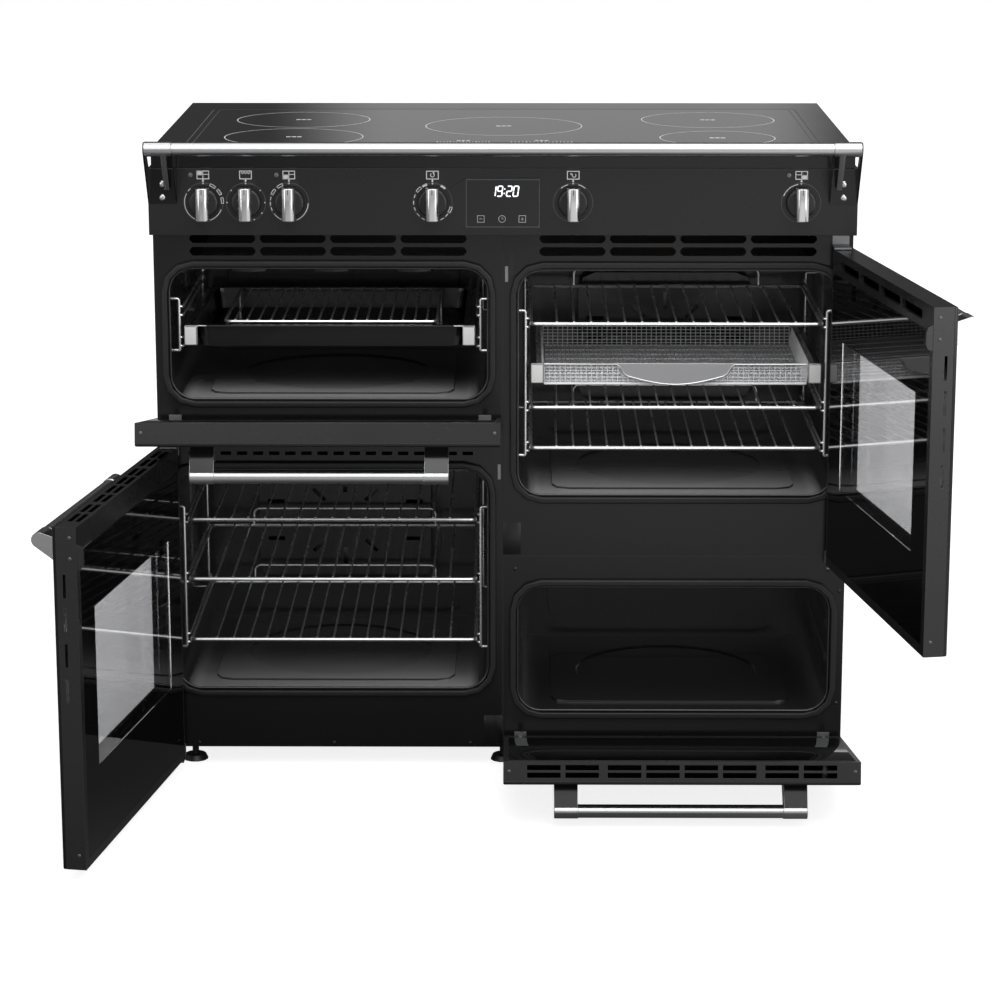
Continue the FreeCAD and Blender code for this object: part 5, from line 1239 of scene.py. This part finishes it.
# One node tree sets a screw's head on every marked point
def fastenerTree():
    tree, given, end = group(
        "fasteners", "GeometryNodeTree",
        (("Geometry", "Geometry", None), ("Head", "Object", None),
         ("Radius", "Float", None), ("Material", "Material", None)),
        (("Geometry", "Geometry"),),
    )
    facing = addNode(tree, "GeometryNodeInputNamedAttribute", {"Name": "facing"}, data_type="FLOAT_VECTOR")
    turn = addNode(tree, "FunctionNodeAlignRotationToVector", {"Vector": facing.outputs["Attribute"]},
                   axis="Z")
    head = addNode(tree, "GeometryNodeObjectInfo", {"Object": given["Head"]})
    size = addNode(tree, "ShaderNodeCombineXYZ", {slot: given["Radius"] for slot in range(3)})
    copies = addNode(tree, "GeometryNodeInstanceOnPoints", {
        "Points": given["Geometry"], "Instance": head.outputs["Geometry"],
        "Rotation": turn.outputs["Rotation"],
        "Scale": size.outputs[0]})
    painted(tree, copies.outputs["Instances"], given["Material"], end)
    return tree


fasteners = fastenerTree()
headObject = bpy.data.objects.new("head", headMesh())
bpy.context.collection.objects.link(headObject)


# Screw heads; spots lists a place and the way the head faces
def screws(name, spots, radius, look, body, turn=None):
    mesh = bpy.data.meshes.new(name)
    mesh.from_pydata([place for place, way in spots], [], [])
    facing = mesh.attributes.new("facing", "FLOAT_VECTOR", "POINT")
    for i, (place, way) in enumerate(spots):
        facing.data[i].vector = way
    values = {"Head": headObject, "Radius": radius, "Material": materials[look]}
    made = grown(name, mesh, fasteners, values)
    return piece(name, smooth(made, 30), body, look, (), turn)


forward = (0, -1, 0)
screwLook = {"right": 0.0028, "small": 0.0026, "rail": 0.0046, "sink": 0.002, "inset": 0.008, "rise": 0.02,
             "drops": (0.014, 0.042), "railSide": 0.4795, "railLevels": (0.8755, 0.8565), "plinth": 0.0374}
frameScrews = ((18, 304), (475.5, 304), (492.6, 271), (492, 100))
screws("frame_screws_right", [((x / 1000, origin, z / 1000), forward) for x, z in frameScrews],
       screwLook["right"], "satinBlack",
       "cooker")
plinthSpots = [((x / 1000, origin, screwLook["plinth"]), forward) for x in (-450, -250, -48)]
screws("frame_screws_left", plinthSpots, screwLook["small"], "satinBlack",
       "cooker")
railScrews = [((side * screwLook["railSide"], fasciaFace - screwLook["sink"], z), forward)
              for side in (-1, 1) for z in screwLook["railLevels"]]
screws("rail_screws", railScrews, screwLook["rail"], "chromePlate", "cooker")
for oven in ovens:
    node = "door_frame_" + oven
    low, high = closedBox(node)
    body = bodyOf[node]
    y = (low.y + high.y) / 2
    if oven in ("top_left", "bottom_right"):
        spots = [((x, y, high.z), (0, 0, 1)) for x in (low.x + screwLook["inset"],
                                                       high.x - screwLook["inset"])]
    else:
        edgeX, way = (high.x, 1) if oven == "bottom_left" else (low.x, -1)
        levels = [low.z + screwLook["rise"]] + [high.z - drop for drop in screwLook["drops"]]
        spots = [((edgeX, y, z), (way, 0, 0)) for z in levels]
    screws("edge_screws_" + oven, spots, screwLook["small"], "trayScrew", body, openTurn(body))
bpy.data.objects.remove(headObject)

# Small cover plates in the frames' corners
coverLook = {"thick": 0.0009, "bevel": 0.0004, "sink": 0.0002}
bm = bmesh.new()
for x0, x1, z0, z1 in ((0.4, 26, 326, 374), (-28, -0.4, 33, 80)):
    slab(bm, (x0 / 1000, origin - coverLook["thick"], z0 / 1000),
         (x1 / 1000, origin + coverLook["sink"], z1 / 1000),
         coverLook["bevel"], 2)
piece("frame_covers", bm, "cooker", "frameBlack")

# Painted shade: a thin dark strip standing in for the shaded gap between the left and the right frames
gapShadeLook = {"half": 0.0009, "thick": 0.00015, "from": 0.03, "to": 0.782}
bm = bmesh.new()
slab(bm, (-gapShadeLook["half"], origin - gapShadeLook["thick"], gapShadeLook["from"]),
     (gapShadeLook["half"], origin + coverLook["sink"], gapShadeLook["to"]))
piece("frame_seam", bm, "cooker", "sealRubber")

# Painted shade: a flat dark slot that ends in a round hole, standing in for the shaded hollow of a keyhole at the
# top of the right frame
keyLook = {"x": 0.012, "foot": 0.742, "top": 0.772, "slot": 0.004, "hole": 0.0042}
bm = bmesh.new()
stroke(bm, [Vector((keyLook["x"], origin, z)) for z in (keyLook["foot"], keyLook["top"])], keyLook["slot"],
       (0, -ink, 0))
hole = [Vector((keyLook["x"] + keyLook["hole"] * math.cos(a * math.pi / 6), origin,
                keyLook["foot"] + keyLook["hole"] * math.sin(a * math.pi / 6))) for a in range(12)]
prism(bm, hole, (0, -ink * 1.5, 0))
piece("frame_keyhole", bm, "cooker", "sealRubber")
print("screws and plates set")


# Stage, light and camera
stage = {"camera": (0.022, -4.4741, 1.472), "aim": (-0.00589, 1.0, -0.23918), "lens": 113.18}


# The white shader for camera and transmission rays, and the other one for every other ray
def shadeByRay(tree, shader, white, output):
    path = addNode(tree, "ShaderNodeLightPath").outputs
    seen = worked(tree, "MAXIMUM", path["Is Camera Ray"], path["Is Transmission Ray"])
    mix = addNode(tree, "ShaderNodeMixShader", {0: seen, 1: shader.outputs[0], 2: white.outputs[0]})
    feed(tree, output, {"Surface": mix.outputs[0]})


# Puts a stage mesh in the scene with a material of its own
def stageObject(name, mesh):
    obj = bpy.data.objects.new(name, mesh)
    bpy.context.collection.objects.link(obj)
    material = bpy.data.materials.new(name + "Light")
    material.use_nodes = True
    mesh.materials.append(material)
    return obj, material.node_tree


# Floor: pale and even as the camera sees it; what the black fronts mirror is dark close by, lit further off
floorLook = {"size": 14.0, "base": (0.5, 0.5, 0.5, 1.0), "roughness": 0.9}
bm = bmesh.new()
bmesh.ops.create_grid(bm, x_segments=1, y_segments=1, size=floorLook["size"])
floor, tree = stageObject("floor", meshFrom("floor", bm))
pale = tree.nodes["Principled BSDF"]
feed(tree, pale, {"Base Color": floorLook["base"], "Roughness": floorLook["roughness"]})
spot = addNode(tree, "ShaderNodeTexCoord").outputs["Object"]
reach = addNode(tree, "ShaderNodeVectorMath", {0: spot}, operation="LENGTH").outputs["Value"]
glow = addNode(tree, "ShaderNodeEmission", {"Strength": ranged(tree, reach, 0.9, 2.1, 0.84, 1.0)})
rise = ranged(tree, reach, 0.3, 1.9, 0.05, 0.6, interpolation_type="SMOOTHSTEP")
side = addNode(tree, "ShaderNodeSeparateXYZ", {0: spot}).outputs["X"]
slope = ranged(tree, side, -1.3, 0.4, 0.35, 1.15, interpolation_type="SMOOTHSTEP")
mirrored = addNode(tree, "ShaderNodeEmission", {"Strength": worked(tree, "MULTIPLY", rise, slope)})
lit = addNode(tree, "ShaderNodeAddShader", {0: pale.outputs[0], 1: glow.outputs[0]})
shadeByRay(tree, mirrored, lit, tree.nodes["Material Output"])

# Room light: soft in front and overhead, dim behind, where the hob mirrors it
roomLook = {"front": 0.42, "behind": 0.065, "from": -0.1, "to": 0.35}
world = bpy.data.worlds.new("studio")
world.use_nodes = True
bpy.context.scene.world = world
tree = world.node_tree
room = tree.nodes["Background"]
whiteColour = (1.0, 1.0, 1.0, 1.0)
spot = addNode(tree, "ShaderNodeTexCoord").outputs["Generated"]
depth = addNode(tree, "ShaderNodeSeparateXYZ", {0: spot}).outputs["Y"]
fade = ranged(tree, depth, roomLook["from"], roomLook["to"], roomLook["front"], roomLook["behind"])
feed(tree, room, {"Color": whiteColour, "Strength": fade})
white = addNode(tree, "ShaderNodeBackground", {"Color": whiteColour, "Strength": 1.0})
shadeByRay(tree, room, white, tree.nodes["World Output"])

# Softboxes: place, size across and up, how bright their face is, and what they point at
softboxes = {
    "front": {"at": (0.3, -3.9, 3.0), "size": (5.2, 2.8), "glow": 1.05, "aim": (0.0, 0.0, 0.5)},
    "overhead": {"at": (0.9, -1.6, 3.3), "size": (4.6, 2.8), "glow": 2.0, "aim": (0.0, -0.1, 0.4)},
    "right": {"at": (2.4, -3.9, 0.95), "size": (1.5, 1.8), "glow": 2.6, "aim": (0.0, 0.0, 0.6)},
    "left": {"at": (-2.3, -3.9, 0.95), "size": (1.3, 1.8), "glow": 1.6, "aim": (0.0, 0.0, 0.6)},
    "top": {"at": (0.0, 0.2, 3.6), "size": (2.6, 1.8), "glow": 1.2, "aim": (0.0, 0.2, 0.9)},
}
for name, box in softboxes.items():
    data = bpy.data.lights.new(name, "AREA")
    data.shape = "RECTANGLE"
    data.size, data.size_y = box["size"]
    data.energy = box["glow"] * math.pi * box["size"][0] * box["size"][1]
    light = bpy.data.objects.new(name, data)
    bpy.context.collection.objects.link(light)
    light.location = box["at"]
    light.rotation_euler = (Vector(box["aim"]) - light.location).to_track_quat("-Z", "Y").to_euler()
    light.visible_camera = False
    light.visible_transmission = False

# Lit panel far behind, whose soft-edged reflection lies on the hob
panelLook = {"centre": 0.2, "half": 1.0, "edge": 0.42, "y": 5.6, "level": (0.95, 2.3), "glow": 0.42}
bm = bmesh.new()
x0, x1 = panelLook["centre"] - panelLook["half"], panelLook["centre"] + panelLook["half"]
low, high = panelLook["level"]
bm.faces.new([bm.verts.new((x, panelLook["y"], z)) for x,
              z in ((x0, low), (x1, low), (x1, high), (x0, high))])
panel, tree = stageObject("panel", meshFrom("panel", bm))
tree.nodes.remove(tree.nodes["Principled BSDF"])
spot = addNode(tree, "ShaderNodeTexCoord").outputs["Object"]
shift = addNode(tree, "ShaderNodeVectorMath", {0: spot, 1: (panelLook["centre"], 0.0, 0.0)},
                operation="SUBTRACT")
side = addNode(tree, "ShaderNodeSeparateXYZ", {0: shift.outputs[0]}).outputs["X"]
fade = ranged(tree, worked(tree, "ABSOLUTE", side), panelLook["half"] - panelLook["edge"], panelLook["half"],
              panelLook["glow"], roomLook["behind"], interpolation_type="SMOOTHSTEP")
shine = addNode(tree, "ShaderNodeEmission", {"Strength": fade})
feed(tree, tree.nodes["Material Output"], {"Surface": shine.outputs[0]})
panel.visible_camera = False
panel.visible_transmission = False

cameraData = bpy.data.cameras.new("camera")
cameraData.lens = stage["lens"]
cameraData.sensor_width = 36.0
camera = bpy.data.objects.new("camera", cameraData)
bpy.context.collection.objects.link(camera)
camera.location = stage["camera"]
camera.rotation_euler = Vector(stage["aim"]).to_track_quat("-Z", "Y").to_euler()
cameraData.clip_end = 50.0
bpy.context.scene.camera = camera
bpy.context.scene.view_settings.view_transform = "Standard"
print("stage set")
